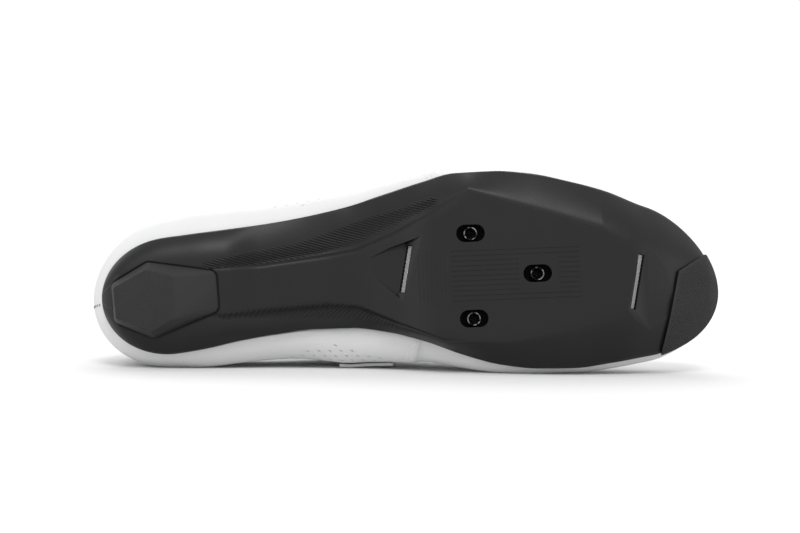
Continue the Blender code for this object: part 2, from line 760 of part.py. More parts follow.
def make_heel_pad(outsole, parts, cutters, finish):
    """Rubber pad with a flat tread, let into the heel inside an open groove."""
    outline = rounded(pad_polygon(PAD_OUTLINE), PAD_CORNER_RADIUS)
    tread = rounded(pad_polygon(PAD_TREAD), PAD_CORNER_RADIUS / 2, 2)
    seat = HEEL_FACE + HEEL_PAD_SEAT
    points = at_height(outline, seat - GAP) + at_height(outline, HEEL_FACE * PAD_SIDE)
    points += at_height(tread, 0.0) + at_height(pad_polygon(PAD_FRONT), HEEL_FACE * PAD_NOSE)
    pad = hull("heel_pad", points, parts, finish)
    bed = rounded(grown(pad_polygon(PAD_OUTLINE), HEEL_GROOVE), PAD_CORNER_RADIUS + HEEL_GROOVE)
    bed_points = at_height(bed, seat) + at_height(bed, -seat)
    boolean(outsole, hull("heel_pad_bed", bed_points, cutters))
    return pad


def toe_pad_prism(name, cutters, margin):
    """The toe pad's plan, from below the ground to over the sole, widened by margin."""
    tip = SOLE_LENGTH
    border = [
        Vector((tip - TOE_PAD_LENGTH * c.along, TOE_PAD_WIDTH * c.across, 0)) for c in TOE_PAD_BORDER
    ]
    first, second, third = border
    shift = Vector((-margin, 0, 0))
    reach = 2 * TOE_PAD_LENGTH
    ring = [
        first + Vector((-margin, -margin, 0)),
        second + shift,
        third + shift,
        third + shift + Vector((0, reach, 0)),
        Vector((tip + reach, third.y + reach, 0)),
        Vector((tip + reach, first.y - margin, 0)),
    ]
    low, high = Vector((0, 0, -0.5 * TOE_SPRING)), Vector((0, 0, 3 * TOE_SPRING))
    return thicken(name, [p + high for p in ring], [p + low for p in ring], [list(range(6))], cutters)


def make_toe_pad(outsole, parts, cutters, finish):
    """Rubber bumper cut between two offset forms of the sole, and its seat in the sole."""
    pad = sole_form("toe_pad", parts, TOE_PAD_PROUD, finish)
    boolean(pad, toe_pad_prism("toe_pad_plan", cutters, 0.0), "INTERSECT")
    boolean(pad, sole_form("toe_pad_back", cutters, -(TOE_PAD_SEAT - GAP)))
    seat = toe_pad_prism("toe_pad_seat", cutters, GAP)
    boolean(seat, sole_form("toe_pad_seat_back", cutters, -TOE_PAD_SEAT))
    boolean(outsole, seat)
    return pad


# Vents: middle and apex are shares of SOLE_LENGTH, across and end are shares of BALL_WIDTH, end being
# the recess's width where it runs out. foot and slit are the widths of the wall's foot and of the
# slit as shares of width, and turn is in degrees.
Vent = namedtuple("Vent", "name middle across width apex end foot slit turn depth toward")
VENTS = [
    Vent("arch_vent", 0.5005, 0.050, ARCH_VENT_WIDTH, 0.0768, 0.02, 0.80, 0.67, 11.5, ARCH_VENT_DEPTH, 1),
    Vent("toe_vent", 0.8585, -0.057, TOE_VENT_WIDTH, 0.0700, 0.62, 0.98, 0.94, 12.0, TOE_VENT_DEPTH, -1),
]
VENT_LEAN = 1.2             # how far the mesh wall leans for its depth
VENT_TOP = 0.004            # how far the cutter reaches out of the sole
VENT_SLIT_SPAN = (-0.001, 0.020)  # from ahead of the wall into the shoe


def vent_frame(vent):
    """Middle of the recess's step at the surface, its direction across, and the one up the ramp."""
    turn = Matrix.Rotation(math.radians(vent.turn), 3, "Z")
    across = turn @ Vector((0, 1, 0))
    ramp = turn @ Vector((-vent.toward, 0, 0))
    middle = Vector((SOLE_LENGTH * vent.middle, -vent.across * BALL_WIDTH, 0))
    middle.z = bottom_height(middle.x, middle.y)
    return middle, across, ramp


def make_vent(vent, outsole, parts, cutters, finish):
    """A wedge cut out of the bottom that deepens to a leaning step, with a mesh strip in its slit."""
    middle, across, ramp = vent_frame(vent)
    lean = VENT_LEAN * vent.depth
    half = across * vent.width / 2
    up, down = Vector((0, 0, vent.depth)), Vector((0, 0, -VENT_TOP))
    foot = middle + ramp * lean + up
    lip = middle - ramp * lean * VENT_TOP / vent.depth + down
    apex = middle + ramp * SOLE_LENGTH * vent.apex
    apex.z = bottom_height(apex.x, apex.y) - GAP
    end = across * vent.end * BALL_WIDTH / 2
    points = [foot + half * vent.foot, foot - half * vent.foot, lip + half, lip - half]
    points += [apex + end, apex - end, apex + end + down, apex - end + down]
    boolean(outsole, hull(f"{vent.name}_recess", points, cutters))
    wall_up = (foot - middle).normalized()
    inward = across.cross(wall_up).normalized()
    if inward.z < 0:
        inward = -inward
    centre = (middle + foot) / 2
    long = across * vent.width * vent.slit / 2
    boolean(outsole, slab(f"{vent.name}_slit", centre, long, wall_up, inward, 0.0, VENT_SLIT_SPAN, cutters))
    span = (VENT_MESH_THICKNESS, 2 * VENT_MESH_THICKNESS)
    return slab(f"{vent.name}_mesh", centre, long, wall_up, inward, GAP, span, parts, finish)


def slab(name, centre, long, tall, inward, gap, span, collection, finish=None):
    """A slit-shaped block, smaller by gap all round, from span[0] to span[1] inwards."""
    long = long - long.normalized() * gap
    high = tall * (VENT_SLIT_WIDTH / 2 - gap)
    points = [
        centre + long * a + high * b + inward * depth
        for a in (-1, 1) for b in (-1, 1) for depth in span
    ]
    return hull(name, points, collection, finish)


def make_insole(parts, finish):
    """Flat foam sheet on the sole's top, inside the upper's lower edge."""
    upper_side, lower_side, points, index = [], [], [], {}
    places = stations()
    inset = FEATHER_INSET + UPPER_WALL + GAP
    spread = (-1.0, -0.6, 0.0, 0.6, 1.0)
    for i, at in enumerate(places):
        edges = [edge_point(at, side, -inset) for side in (-1, 1)]
        for j, share in enumerate(spread):
            key = (i, 0) if i in (0, len(places) - 1) else (i, j)
            if key not in index:
                index[key] = len(upper_side)
                place = edges[0].lerp(edges[1], (share + 1) / 2)
                low = top_height(place.x / SOLE_LENGTH) + GAP
                lower_side.append(Vector((place.x, place.y, low)))
                upper_side.append(Vector((place.x, place.y, low + INSOLE_THICKNESS)))
            points.append(index[key])
    faces = []
    for face in grid_faces(len(places), len(spread)):
        ids = []
        for k in face:
            if points[k] not in ids:
                ids.append(points[k])
        if len(ids) > 2:
            faces.append(ids)
    return thicken("insole", upper_side, lower_side, faces, parts, finish)


def make_upper(parts, finish):
    """The hollow upper: both sides meet at the toe, the heel and in front of the throat."""
    places = stations()
    last = len(places) - 1
    outer, inner, index = [], [], {}

    def vertex(side, i, j):
        closed = j == UPPER_ROWS and cut_share(places[i], side) >= 1.0
        key = (0 if i in (0, last) or closed else side, i, j)
        if key not in index:
            at, share = places[i], j / UPPER_ROWS
            q = cut_share(at, side) * share
            index[key] = len(outer)
            outer.append(shell_point(at, side, q, quarter_step(at, side)))
            inner.append(shell_point(at, side, q, -UPPER_WALL - collar_padding(at, share)))
        return index[key]

    faces = []
    for side in (-1, 1):
        for i in range(last):
            for j in range(UPPER_ROWS):
                face = [vertex(side, i, j), vertex(side, i + 1, j),
                        vertex(side, i + 1, j + 1), vertex(side, i, j + 1)]
                faces.append(face if side < 0 else face[::-1])
    return thicken("upper", outer, inner, faces, parts, finish)


def band(name, places, rows_of, low, high, parts, finish):
    """A strip over the ridge between two offsets of the upper: rows_of gives each side's q values."""
    outer, inner = [], []
    for at in places:
        lateral = [(-1, q) for q in rows_of(at, -1)]
        medial = [(1, q) for q in rows_of(at, 1)]
        for side, q in lateral + medial[::-1][1:]:
            outer.append(shell_point(at, side, q, high(at, side)))
            inner.append(shell_point(at, side, q, low(at, side)))
    columns = len(outer) // len(places)
    return thicken(name, outer, inner, grid_faces(len(places), columns), parts, finish)


def make_strap(strap, parts, finish):
    half = strap.width / SOLE_LENGTH / 2
    low, high = strap.middle - half - 1e-6, strap.middle + half + 1e-6
    places = [at for at in stations() if low <= at <= high]

    def rows_of(at, side):
        cut = cut_share(at, side)
        first = strap.lateral_row if side < 0 else strap.medial_row
        own = [cut * j / UPPER_ROWS for j in range(first, UPPER_ROWS + 1)]
        return own + [cut + (1 - cut) * k / 2 for k in (1, 2)]

    def low(at, side):
        return quarter_step(at, side) + STRAP_CLEARANCE

    def high(at, side):
        return low(at, side) + STRAP_THICKNESS

    return band(strap.name, places, rows_of, low, high, parts, finish)


TONGUE_BACK = 0.330
TONGUE_FRONT = 0.720
TONGUE_ROUND = 0.060        # share of the length that its round top takes
TONGUE_TIP = 0.35           # share of its width at the very top
TONGUE_TAPER = 0.35         # what it loses of its width towards the front
TONGUE_COLUMNS = 15
TONGUE_ROWS = 7


def make_tongue(parts, finish):
    """Padded sheet under the throat, standing out over the instep with a round top."""
    shares = [(k / TONGUE_COLUMNS) ** 1.5 for k in range(TONGUE_COLUMNS + 1)]
    places = [TONGUE_BACK + (TONGUE_FRONT - TONGUE_BACK) * share for share in shares]

    def rows_of(at, side):
        share = (at - TONGUE_BACK) / (TONGUE_FRONT - TONGUE_BACK)
        curl = 1 - min(1.0, (at - TONGUE_BACK) / TONGUE_ROUND)
        top = TONGUE_TIP + (1 - TONGUE_TIP) * math.sqrt(1 - curl ** 2)
        half = TONGUE_WIDTH / 2 * (1 - TONGUE_TAPER * share ** 2) * top
        start = share_at_width(at, side, half)
        return [start + (1 - start) * k / TONGUE_ROWS for k in range(TONGUE_ROWS + 1)]

    def high(at, side):
        return -(UPPER_WALL + TONGUE_CLEARANCE)

    def low(at, side):
        return high(at, side) - TONGUE_THICKNESS

    return band("tongue", places, rows_of, low, high, parts, finish)


# Laying the shoe down

def triangles_of(item):
    """Corner coordinates of an evaluated mesh's triangles, in the world."""
    depsgraph = bpy.context.evaluated_depsgraph_get()
    evaluated = item.evaluated_get(depsgraph)
    mesh = evaluated.to_mesh()
    mesh.calc_loop_triangles()
    points = np.array([evaluated.matrix_world @ v.co for v in mesh.vertices])
    corners = points[np.array([t.vertices[:] for t in mesh.loop_triangles])]
    evaluated.to_mesh_clear()
    return corners


def balance(items):
    """Centre of mass of (object, density) pairs, and all their corners."""
    mass, moment, corners = 0.0, np.zeros(3), []
    for item, density in items:
        a, b, c = triangles_of(item).transpose(1, 0, 2)
        volumes = np.einsum("ij,ij->i", a, np.cross(b, c)) / 6
        mass += density * volumes.sum()
        moment += density * (volumes[:, None] * (a + b + c) / 4).sum(axis=0)
        corners.append(a)
    return Vector(moment / mass), np.vstack(corners)


def resting_matrix(items):
    """Turns the shoe so that it lies on the medial hull face under its centre of mass."""
    centre, corners = balance(items)
    bm = bmesh.new()
    for point in corners:
        bm.verts.new(point)
    bmesh.ops.convex_hull(bm, input=bm.verts)
    bmesh.ops.recalc_face_normals(bm, faces=bm.faces)
    bm.normal_update()
    best = None
    for face in bm.faces:
        if face.normal.y < 0.8:
            continue
        foot = centre + face.normal * (face.verts[0].co - centre).dot(face.normal)
        loops = [v.co for v in face.verts]
        inside = min(
            (b - a).cross(foot - a).dot(face.normal) / (b - a).length
            for a, b in zip(loops, loops[1:] + loops[:1])
        )
        if best is None or inside > best[0]:
            best = (inside, face.normal.copy())
    bm.free()
    down = Vector((0, 0, -1))
    lay = best[1].rotation_difference(down).to_matrix()
    ahead = lay @ Vector((1, 0, 0))
    turn = Matrix.Rotation(-math.atan2(ahead.y, ahead.x), 3, "Z")
    laid = (turn @ lay).to_4x4()
    placed = np.array([laid @ Vector(p) for p in corners])
    low, high = placed.min(axis=0), placed.max(axis=0)
    shift = Vector((-(low[0] + high[0]) / 2, -(low[1] + high[1]) / 2, -low[2]))
    return Matrix.Translation(shift) @ laid


def main():
    for item in list(bpy.data.objects):
        bpy.data.objects.remove(item)
    parts = bpy.data.collections.new("cycling_shoe")
    cutters = bpy.data.collections.new("cutters")
    for collection in (parts, cutters):
        bpy.context.scene.collection.children.link(collection)

    nylon = material("black_nylon", (0.030, 0.030, 0.031), 0.55)
    rubber = material("black_rubber", (0.045, 0.045, 0.046), 0.75)
    microfibre = material("white_microfibre", (0.78, 0.78, 0.78), 0.5)
    lining = material("light_textile", (0.62, 0.62, 0.63), 0.9)
    foam = material("dark_foam", (0.08, 0.08, 0.085), 0.9)
    webbing = material("white_strap", (0.74, 0.74, 0.74), 0.55)
    mesh_grey = material("vent_mesh", (0.28, 0.28, 0.28), 0.6)
    steel = material("steel", (0.35, 0.35, 0.36), 0.35, 1.0)

    outsole = sole_form("outsole", parts, 0.0, nylon)
    cleat_plate = make_cleat_plate(parts, cutters, steel)
    cut_cleat_bed(outsole, cutters)
    heel_pad = make_heel_pad(outsole, parts, cutters, rubber)
    toe_pad = make_toe_pad(outsole, parts, cutters, rubber)
    meshes = [make_vent(vent, outsole, parts, cutters, mesh_grey) for vent in VENTS]
    insole = make_insole(parts, foam)
    upper = make_upper(parts, microfibre)
    tongue = make_tongue(parts, lining)
    straps = [make_strap(strap, parts, webbing) for strap in STRAPS]

    for item in cutters.objects:
        item.hide_render = True
        item.display_type = "WIRE"
    bpy.context.view_layer.update()
    weights = [(outsole, NYLON), (heel_pad, RUBBER), (toe_pad, RUBBER), (insole, TEXTILE)]
    weights += [(upper, MICROFIBRE), (tongue, TEXTILE), (cleat_plate, STEEL)]
    weights += [(strap, MICROFIBRE) for strap in straps] + [(strip, TEXTILE) for strip in meshes]
    laid = resting_matrix(weights)
    shoe = bpy.data.objects.new("shoe", None)
    parts.objects.link(shoe)
    for item in list(parts.objects) + list(cutters.objects):
        if item is not shoe:
            item.parent = shoe
    shoe.matrix_world = laid


main()
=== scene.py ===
# Road cycling shoe for the right foot, lying on its medial side with the sole towards the camera.
# Forms are worked out standing up, in millimetres: x from heel to toe, y to the medial side, z up.
# The frame's slide axis and mounts give the turn that lays them down.
import json
import math

import bmesh
import bpy
import numpy as np
from mathutils import Matrix, Vector


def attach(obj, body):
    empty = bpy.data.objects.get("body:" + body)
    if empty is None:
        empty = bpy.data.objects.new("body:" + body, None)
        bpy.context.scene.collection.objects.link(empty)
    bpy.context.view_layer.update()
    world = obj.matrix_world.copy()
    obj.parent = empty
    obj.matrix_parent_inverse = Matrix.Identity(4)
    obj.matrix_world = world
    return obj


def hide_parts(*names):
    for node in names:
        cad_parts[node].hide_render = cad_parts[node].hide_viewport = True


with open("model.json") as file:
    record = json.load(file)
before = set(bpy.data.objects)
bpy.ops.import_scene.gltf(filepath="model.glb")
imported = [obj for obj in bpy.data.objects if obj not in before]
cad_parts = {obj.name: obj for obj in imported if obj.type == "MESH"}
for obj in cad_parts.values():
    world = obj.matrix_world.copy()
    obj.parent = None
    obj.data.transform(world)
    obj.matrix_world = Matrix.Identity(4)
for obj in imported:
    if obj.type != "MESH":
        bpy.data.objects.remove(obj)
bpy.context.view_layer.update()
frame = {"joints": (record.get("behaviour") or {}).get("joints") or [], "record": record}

record = frame["record"]
mounts = {mount["name"]: mount for mount in record["mounts"]}
ahead = Vector(frame["joints"][0]["axis"]).normalized()
above = -Vector(mounts["heel_tread"]["axis"]).normalized()
medialWay = above.cross(ahead).normalized()
lay = Matrix((ahead, medialWay, above)).transposed()
treadPoint = Vector((21.5, 3.0, 0.0))  # the record's heel_tread mount on the upright shoe
origin = Vector(mounts["heel_tread"]["pos_m"]) - lay @ treadPoint * 0.001
toWorld = Matrix.Translation(origin) @ (lay * 0.001).to_4x4()

# The shoe's driving sizes, as in its CAD source
shoe = {
    "length": 267.4, "ballWidth": 85.0, "waistWidth": 48.5, "heelWidth": 50.7, "soleEdge": 3.2,
    "heelLift": 10.5, "waistLift": 15.0, "ballLift": 6.8, "toeSpring": 24.0, "heelFace": 5.5,
    "spineLift": 12.0, "channelDepth": 2.0, "channelWidth": 5.5, "gap": 0.3, "wall": 1.8,
    "featherInset": 1.2, "sideBulge": 10.0, "bulgeHeight": 10.5, "heelTab": 82.0, "ankle": 60.0,
    "instep": 97.0, "cone": 112.0, "toeBox": 47.0, "throatWidth": 34.0, "quarterStep": 1.0,
    "padding": 2.8, "strapSkew": 8.5,
}
heelRound, toeRound = 0.120, 0.112  # shares of the length that the round ends take
heelNose, toeNose = 0.030, 0.101  # shares of the ball width that the ends' middles lie off the axis
throatEnd = 0.690
quarterFront = {-1: 0.517, 1: 0.545}
stepRun = 0.004
lowPart = 0.2  # share of a side's girth that is its lower bulge
sideNames = {-1: "lateral", 1: "medial"}


# Tables: a row for each section, with sizes as shares of the named ones
def table(columns, rows):
    names = columns.split()
    found = {name: [] for name in names}
    for row in rows:
        for name, value in zip(names, row):
            found[name].append(shoe[value] if isinstance(value, str) else value)
    return {name: np.array(values, float) for name, values in found.items()}


sections = table("at width lateral medial lift rim", [
    (0.00, "heelWidth", 0.463, 0.575, "heelLift", 1.24),
    (0.10, "heelWidth", 0.456, 0.550, "heelLift", 1.00),
    (0.16, "heelWidth", 0.481, 0.515, "heelLift", 1.02),
    (0.22, "heelWidth", 0.513, 0.452, "waistLift", 0.82),
    (0.28, "waistWidth", 0.575, 0.423, "waistLift", 0.94),
    (0.34, "waistWidth", 0.627, 0.392, "waistLift", 1.00),
    (0.40, "waistWidth", 0.693, 0.394, "waistLift", 1.00),
    (0.46, "waistWidth", 0.784, 0.445, "waistLift", 0.88),
    (0.52, "ballWidth", 0.498, 0.311, "waistLift", 0.69),
    (0.58, "ballWidth", 0.538, 0.388, "ballLift", 1.20),
    (0.64, "ballWidth", 0.539, 0.447, "ballLift", 1.03),
    (0.70, "ballWidth", 0.519, 0.474, "ballLift", 1.00),
    (0.76, "ballWidth", 0.474, 0.479, "ballLift", 1.12),
    (0.82, "ballWidth", 0.419, 0.459, "toeSpring", 0.40),
    (0.88, "ballWidth", 0.342, 0.430, "toeSpring", 0.57),
    (0.94, "ballWidth", 0.283, 0.400, "toeSpring", 0.79),
    (1.00, "ballWidth", 0.228, 0.389, "toeSpring", 1.00),
])
keel = table("at lateral medial lift face channel side", [
    (0.000, 0.090, 0.130, "heelFace", 1.00, 0.15, 2.6),
    (0.150, 0.090, 0.130, "heelFace", 1.00, 0.20, 2.6),
    (0.199, 0.088, 0.133, "heelFace", 1.05, 0.50, 2.4),
    (0.258, 0.094, 0.111, "spineLift", 0.80, 0.90, 2.2),
    (0.365, 0.132, 0.093, "spineLift", 1.00, 1.00, 2.0),
    (0.415, 0.153, 0.112, "spineLift", 0.88, 1.00, 2.0),
    (0.477, 0.225, 0.205, "spineLift", 0.54, 0.90, 1.8),
    (0.550, 0.338, 0.309, "spineLift", 0.06, 0.30, 1.5),
    (0.599, 0.435, 0.325, "spineLift", 0.00, 0.02, 1.3),
    (0.661, 0.372, 0.330, "spineLift", 0.00, 0.02, 1.3),
    (0.811, 0.216, 0.244, "toeSpring", 0.00, 0.02, 1.4),
    (0.849, 0.130, 0.205, "toeSpring", 0.03, 0.02, 1.7),
    (0.900, 0.060, 0.150, "toeSpring", 0.24, 0.02, 1.9),
    (0.950, 0.020, 0.120, "toeSpring", 0.55, 0.02, 1.9),
    (1.000, 0.000, 0.110, "toeSpring", 0.90, 0.02, 1.9),
])
sides = table("at lateral medial height inward up over", [
    (0.00, 0.45, 0.45, 1.15, 0.04, 0.50, 0.60),
    (0.10, 0.85, 0.40, 1.05, 0.15, 0.30, 0.52),
    (0.16, 0.95, 0.61, 1.00, 0.16, 0.30, 0.52),
    (0.22, 0.90, 0.79, 1.00, 0.16, 0.30, 0.54),
    (0.28, 0.83, 0.93, 1.00, 0.13, 0.31, 0.58),
    (0.34, 0.79, 1.15, 1.00, 0.07, 0.34, 0.62),
    (0.40, 0.69, 1.35, 1.00, 0.05, 0.36, 0.64),
    (0.46, 0.55, 1.15, 0.95, 0.07, 0.36, 0.62),
    (0.52, 0.41, 0.85, 0.80, 0.10, 0.36, 0.60),
    (0.55, 0.35, 0.66, 0.70, 0.12, 0.36, 0.60),
    (0.58, 0.22, 0.53, 0.60, 0.13, 0.38, 0.60),
    (0.64, 0.16, 0.32, 0.50, 0.14, 0.38, 0.60),
    (0.70, 0.13, 0.19, 0.48, 0.14, 0.40, 0.60),
    (0.76, 0.11, 0.15, 0.48, 0.10, 0.46, 0.60),
    (0.82, 0.10, 0.20, 0.50, 0.05, 0.52, 0.60),
    (0.88, 0.10, 0.19, 0.60, 0.02, 0.55, 0.60),
    (0.94, 0.08, 0.12, 0.65, 0.00, 0.56, 0.60),
    (1.00, 0.06, 0.06, 0.65, 0.00, 0.56, 0.60),
])
ridgeLine = table("at across of height", [
    (0.10, 0.03, "cone", 0.96),
    (0.20, 0.03, "cone", 1.00),
    (0.30, 0.05, "cone", 0.98),
    (0.38, 0.07, "instep", 1.06),
    (0.45, 0.08, "instep", 0.965),
    (0.52, 0.08, "instep", 0.86),
    (0.60, 0.08, "instep", 0.745),
    (0.68, 0.08, "instep", 0.655),
    (0.76, 0.08, "toeBox", 1.23),
    (0.84, 0.08, "toeBox", 1.12),
    (0.92, 0.09, "toeBox", 1.00),
])
collar = table("at of lateral medial", [
    (0.00, "heelTab", 1.000, 1.000),
    (0.02, "heelTab", 0.985, 0.985),
    (0.045, "heelTab", 0.930, 0.935),
    (0.08, "ankle", 1.140, 1.160),
    (0.12, "ankle", 1.040, 1.070),
    (0.18, "ankle", 0.960, 1.020),
    (0.24, "ankle", 0.990, 1.050),
    (0.30, "ankle", 1.120, 1.160),
    (0.36, "instep", 0.810, 0.830),
    (0.41, "instep", 0.950, 0.960),
    (0.46, "instep", 1.200, 1.200),
])
throat = table("at half", [
    (0.30, 0.56), (0.40, 0.50), (0.50, 0.42), (0.58, 0.34), (0.64, 0.24), (0.67, 0.14),
])
# The shares become millimetres
for made, share, size in ((sections, "lateral", "width"), (sections, "medial", "width"),
                          (sections, "rim", "lift"), (keel, "face", "lift"), (ridgeLine, "height", "of"),
                          (collar, "lateral", "of"), (collar, "medial", "of")):
    made[share] = made[share] * made[size]


def smooth(columns, name, at):
    # A curve through one column, flat beyond its ends
    x, y = columns["at"], columns[name]
    at = np.clip(at, x[0], x[-1])
    slope = np.diff(y) / np.diff(x)
    product = slope[:-1] * slope[1:]
    total = np.where(product > 0, slope[:-1] + slope[1:], 1)
    inner = np.where(product > 0, 2 * product / total, 0)
    tangent = np.concatenate([slope[:1], inner, slope[-1:]])
    i = np.clip(np.searchsorted(x, at, "right") - 1, 0, len(x) - 2)
    h = x[i + 1] - x[i]
    t = (at - x[i]) / h
    near = y[i] * (1 + 2 * t) * (1 - t) ** 2 + h * tangent[i] * t * (1 - t) ** 2
    return near + y[i + 1] * t * t * (3 - 2 * t) - h * tangent[i + 1] * t * t * (1 - t)


def straight(columns, name, at):
    return np.interp(at, columns["at"], columns[name])


def ease(t):
    t = np.clip(t, 0, 1)
    return t * t * (3 - 2 * t)


# The sole's form
def endFactor(at):
    # 0 at the tips, 1 between the round ends
    found = 1.0
    for far, reach in ((at, heelRound), (1 - at, toeRound)):
        found = found * np.sqrt(np.clip(1 - (1 - np.minimum(far, reach) / reach) ** 2, 0, 1))
    return found


def roundedIn(at, side, offset):
    nose = side * shoe["ballWidth"] * np.where(at < 0.5, heelNose, toeNose)
    return nose + (offset - nose) * endFactor(at)


def halfWidth(at, side, grow=0.0):
    return roundedIn(at, side, smooth(sections, sideNames[side], at) + grow)


def rimHeight(at):
    return smooth(sections, "rim", at)


def topHeight(at):
    return rimHeight(at) + shoe["soleEdge"]


tips = {"heel": 0.04, "toe": 0.02}


def keelHeight(at):
    # The spine's lowest line, which meets the rim at the two tips
    face = smooth(keel, "face", at)
    tip = 1 - np.minimum(1, np.minimum(at / tips["heel"], (1 - at) / tips["toe"]))
    return face + (rimHeight(at) - face) * tip ** 2


def keelEdge(at, side):
    return roundedIn(at, side, shoe["ballWidth"] * straight(keel, sideNames[side], at))


# Shares across a channel with its fall, then shares across the slope from it out to the rim
bottom = {
    "channelLeast": 0.1, "channelMost": 0.4, "lowest": 0.9, "corner": 0.35,
    "dip": [0.08, 0.18, 0.28, 0.38, 0.50, 0.72, 1.0], "fall": [0.08, 0.30, 0.58, 0.82, 0.96, 1.0, 0.9],
    "slope": [0.1, 0.2, 0.3, 0.4, 0.5, 0.59, 0.67, 0.75, 0.82, 0.88, 0.93, 0.97],
}


def bottomSide(at, side, grow=0.0):
    # One side of the bottom, from the middle of the spine out to the rim: arrays of y and z
    at = at[:, None]
    top, rim = keelHeight(at), rimHeight(at)
    share, power = smooth(keel, "channel", at), smooth(keel, "side", at)
    flat, edge = keelEdge(at, side), halfWidth(at, side, grow)
    middle = (keelEdge(at, side) - keelEdge(at, -side)) / 2
    wide = bottom["channelLeast"] + (1 - bottom["channelLeast"]) * share
    channel = np.minimum(shoe["channelWidth"] * wide, bottom["channelMost"] * (edge - flat))
    depth = shoe["channelDepth"] * share
    low = top + bottom["lowest"] * depth
    across = np.linspace(0, 1, 9)[None, :]
    dip, fall, slope = [np.array([bottom[name]]) for name in ("dip", "fall", "slope")]
    y = np.hstack([middle + (flat - middle) * across, flat + channel * dip,
                   flat + channel + (edge - flat - channel) * slope])
    z = np.hstack([top + 0 * across, top + depth * fall, low + (rim - low) * slope ** power])
    corner = bottom["corner"] * endFactor(at)
    y = np.hstack([y, edge - corner, edge])
    z = np.hstack([z, rim - 0.1 * corner, rim + corner])
    return side * y, z - grow


def bottomHeight(x, y):
    at = np.array([x / shoe["length"]])
    lateral, medial = bottomSide(at, -1), bottomSide(at, 1)
    across, height = [np.concatenate([a[0][::-1], b[0]]) for a, b in zip(lateral, medial)]
    return float(np.interp(y, across, height))


def stations(step, fixed=()):
    # Shares of the length, close together at the round ends
    ends = 1 - np.cos(np.linspace(0, math.pi / 2, 26))
    middle = np.arange(heelRound, 1 - toeRound, step / shoe["length"])
    found = np.concatenate([heelRound * ends, middle, 1 - toeRound * ends, list(fixed)])
    found = np.unique(np.round(found, 5))
    keep = np.concatenate([[True], np.diff(found) > 5e-5])
    return found[keep]


# The upper's form: shares of the length over which its sections turn
strapTurn = {"back": 0.20, "rise": 0.22, "front": 0.80, "fall": 0.15}


def skew(at):
    # How far the sections turn, so that the straps cross the ridge at a slant
    rise = np.clip((at - strapTurn["back"]) / strapTurn["rise"], 0, 1)
    fall = np.clip((strapTurn["front"] - at) / strapTurn["fall"], 0, 1)
    return shoe["strapSkew"] / shoe["length"] * ease(rise * fall)


def edgePoint(at, side, out):
    # The sole's outline, moved outwards square to itself: arrays of x and y
    step = 1e-4
    front, back = np.minimum(at + step, 1), np.maximum(at - step, 0)
    dx = shoe["length"] * (front - back)
    dy = side * (halfWidth(front, side) - halfWidth(back, side))
    size = np.hypot(dx, dy)
    nx, ny = -side * dy / size, side * dx / size
    end = (at < 1e-6) | (at > 1 - 1e-6)
    nx = np.where(end, np.where(at < 0.5, -1, 1), nx)
    ny = np.where(end, 0, ny)
    return shoe["length"] * at + nx * out, side * halfWidth(at, side) + ny * out


def quarterRise(at, side):
    return shoe["quarterStep"] * np.clip(1 - (at - quarterFront[side]) / stepRun, 0, 1)


# The collar's padding, inside the shell: from this share of a side's girth up, and as far along as its end
collarPad = {"from": 0.45, "rise": 0.30, "end": 0.32, "fade": 0.07}


def paddingAt(at, share):
    up = ease((share - collarPad["from"]) / collarPad["rise"])
    return shoe["padding"] * up * ease((collarPad["end"] - at) / collarPad["fade"])


def arch(t, inward, up, over):
    # A side's curve from the bulge to the ridge: how far out it still is, and how high
    s = 1 - t
    lean = s ** 3 + 3 * s * s * t * (1 - inward) + 3 * s * t * t * over
    return lean, 3 * s * s * t * up + 3 * s * t * t + t ** 3


# Behind and before these shares of the length the ridge's points move towards the middle
ridge = {"back": 0.30, "setForward": 0.13, "front": 0.75, "setBack": 0.085}


def column(at, side):
    # One side's section: its feather line, its fullest point, the ridge and the curve's handles
    own = at - side * skew(at)
    bulge = smooth(sides, sideNames[side], own) * shoe["sideBulge"]
    fx, fy = edgePoint(own, side, -shoe["featherInset"])
    gx, gy = edgePoint(own, side, bulge)
    fz = topHeight(own) + shoe["gap"]
    gz = fz + smooth(sides, "height", own) * shoe["bulgeHeight"]
    back, front = ridge["back"], ridge["front"]
    place = at + np.where(at < back, ridge["setForward"] * (1 - at / back) ** 2, 0)
    place = place - np.where(at > front, ridge["setBack"] * ((at - front) / (1 - front)) ** 2, 0)
    rx = shoe["length"] * place
    ry = smooth(ridgeLine, "across", place) * shoe["ballWidth"]
    rz = smooth(ridgeLine, "height", place)
    handles = [smooth(sides, name, own) for name in ("inward", "up", "over")]
    return (fx, fy, fz), (gx, gy, gz), (rx, ry, rz), handles


def lastSurface(at, side, q):
    (fx, fy, fz), (gx, gy, gz), (rx, ry, rz), handles = column(at, side)
    turn = math.pi / 6 + np.clip(q / lowPart, 0, 1) * math.pi / 3
    rise = (math.cos(math.pi / 6) - np.cos(turn)) / math.cos(math.pi / 6)
    reach = (np.sin(turn) - 0.5) / 0.5
    lean, up = arch(np.clip((q - lowPart) / (1 - lowPart), 0, 1), *handles)
    low = q <= lowPart
    x = np.where(low, fx + (gx - fx) * reach, rx + (gx - rx) * lean)
    y = np.where(low, fy + (gy - fy) * reach, ry + (gy - ry) * lean)
    z = np.where(low, fz + (gz - fz) * rise, gz + (rz - gz) * up)
    return np.stack([x, y, z], axis=-1)


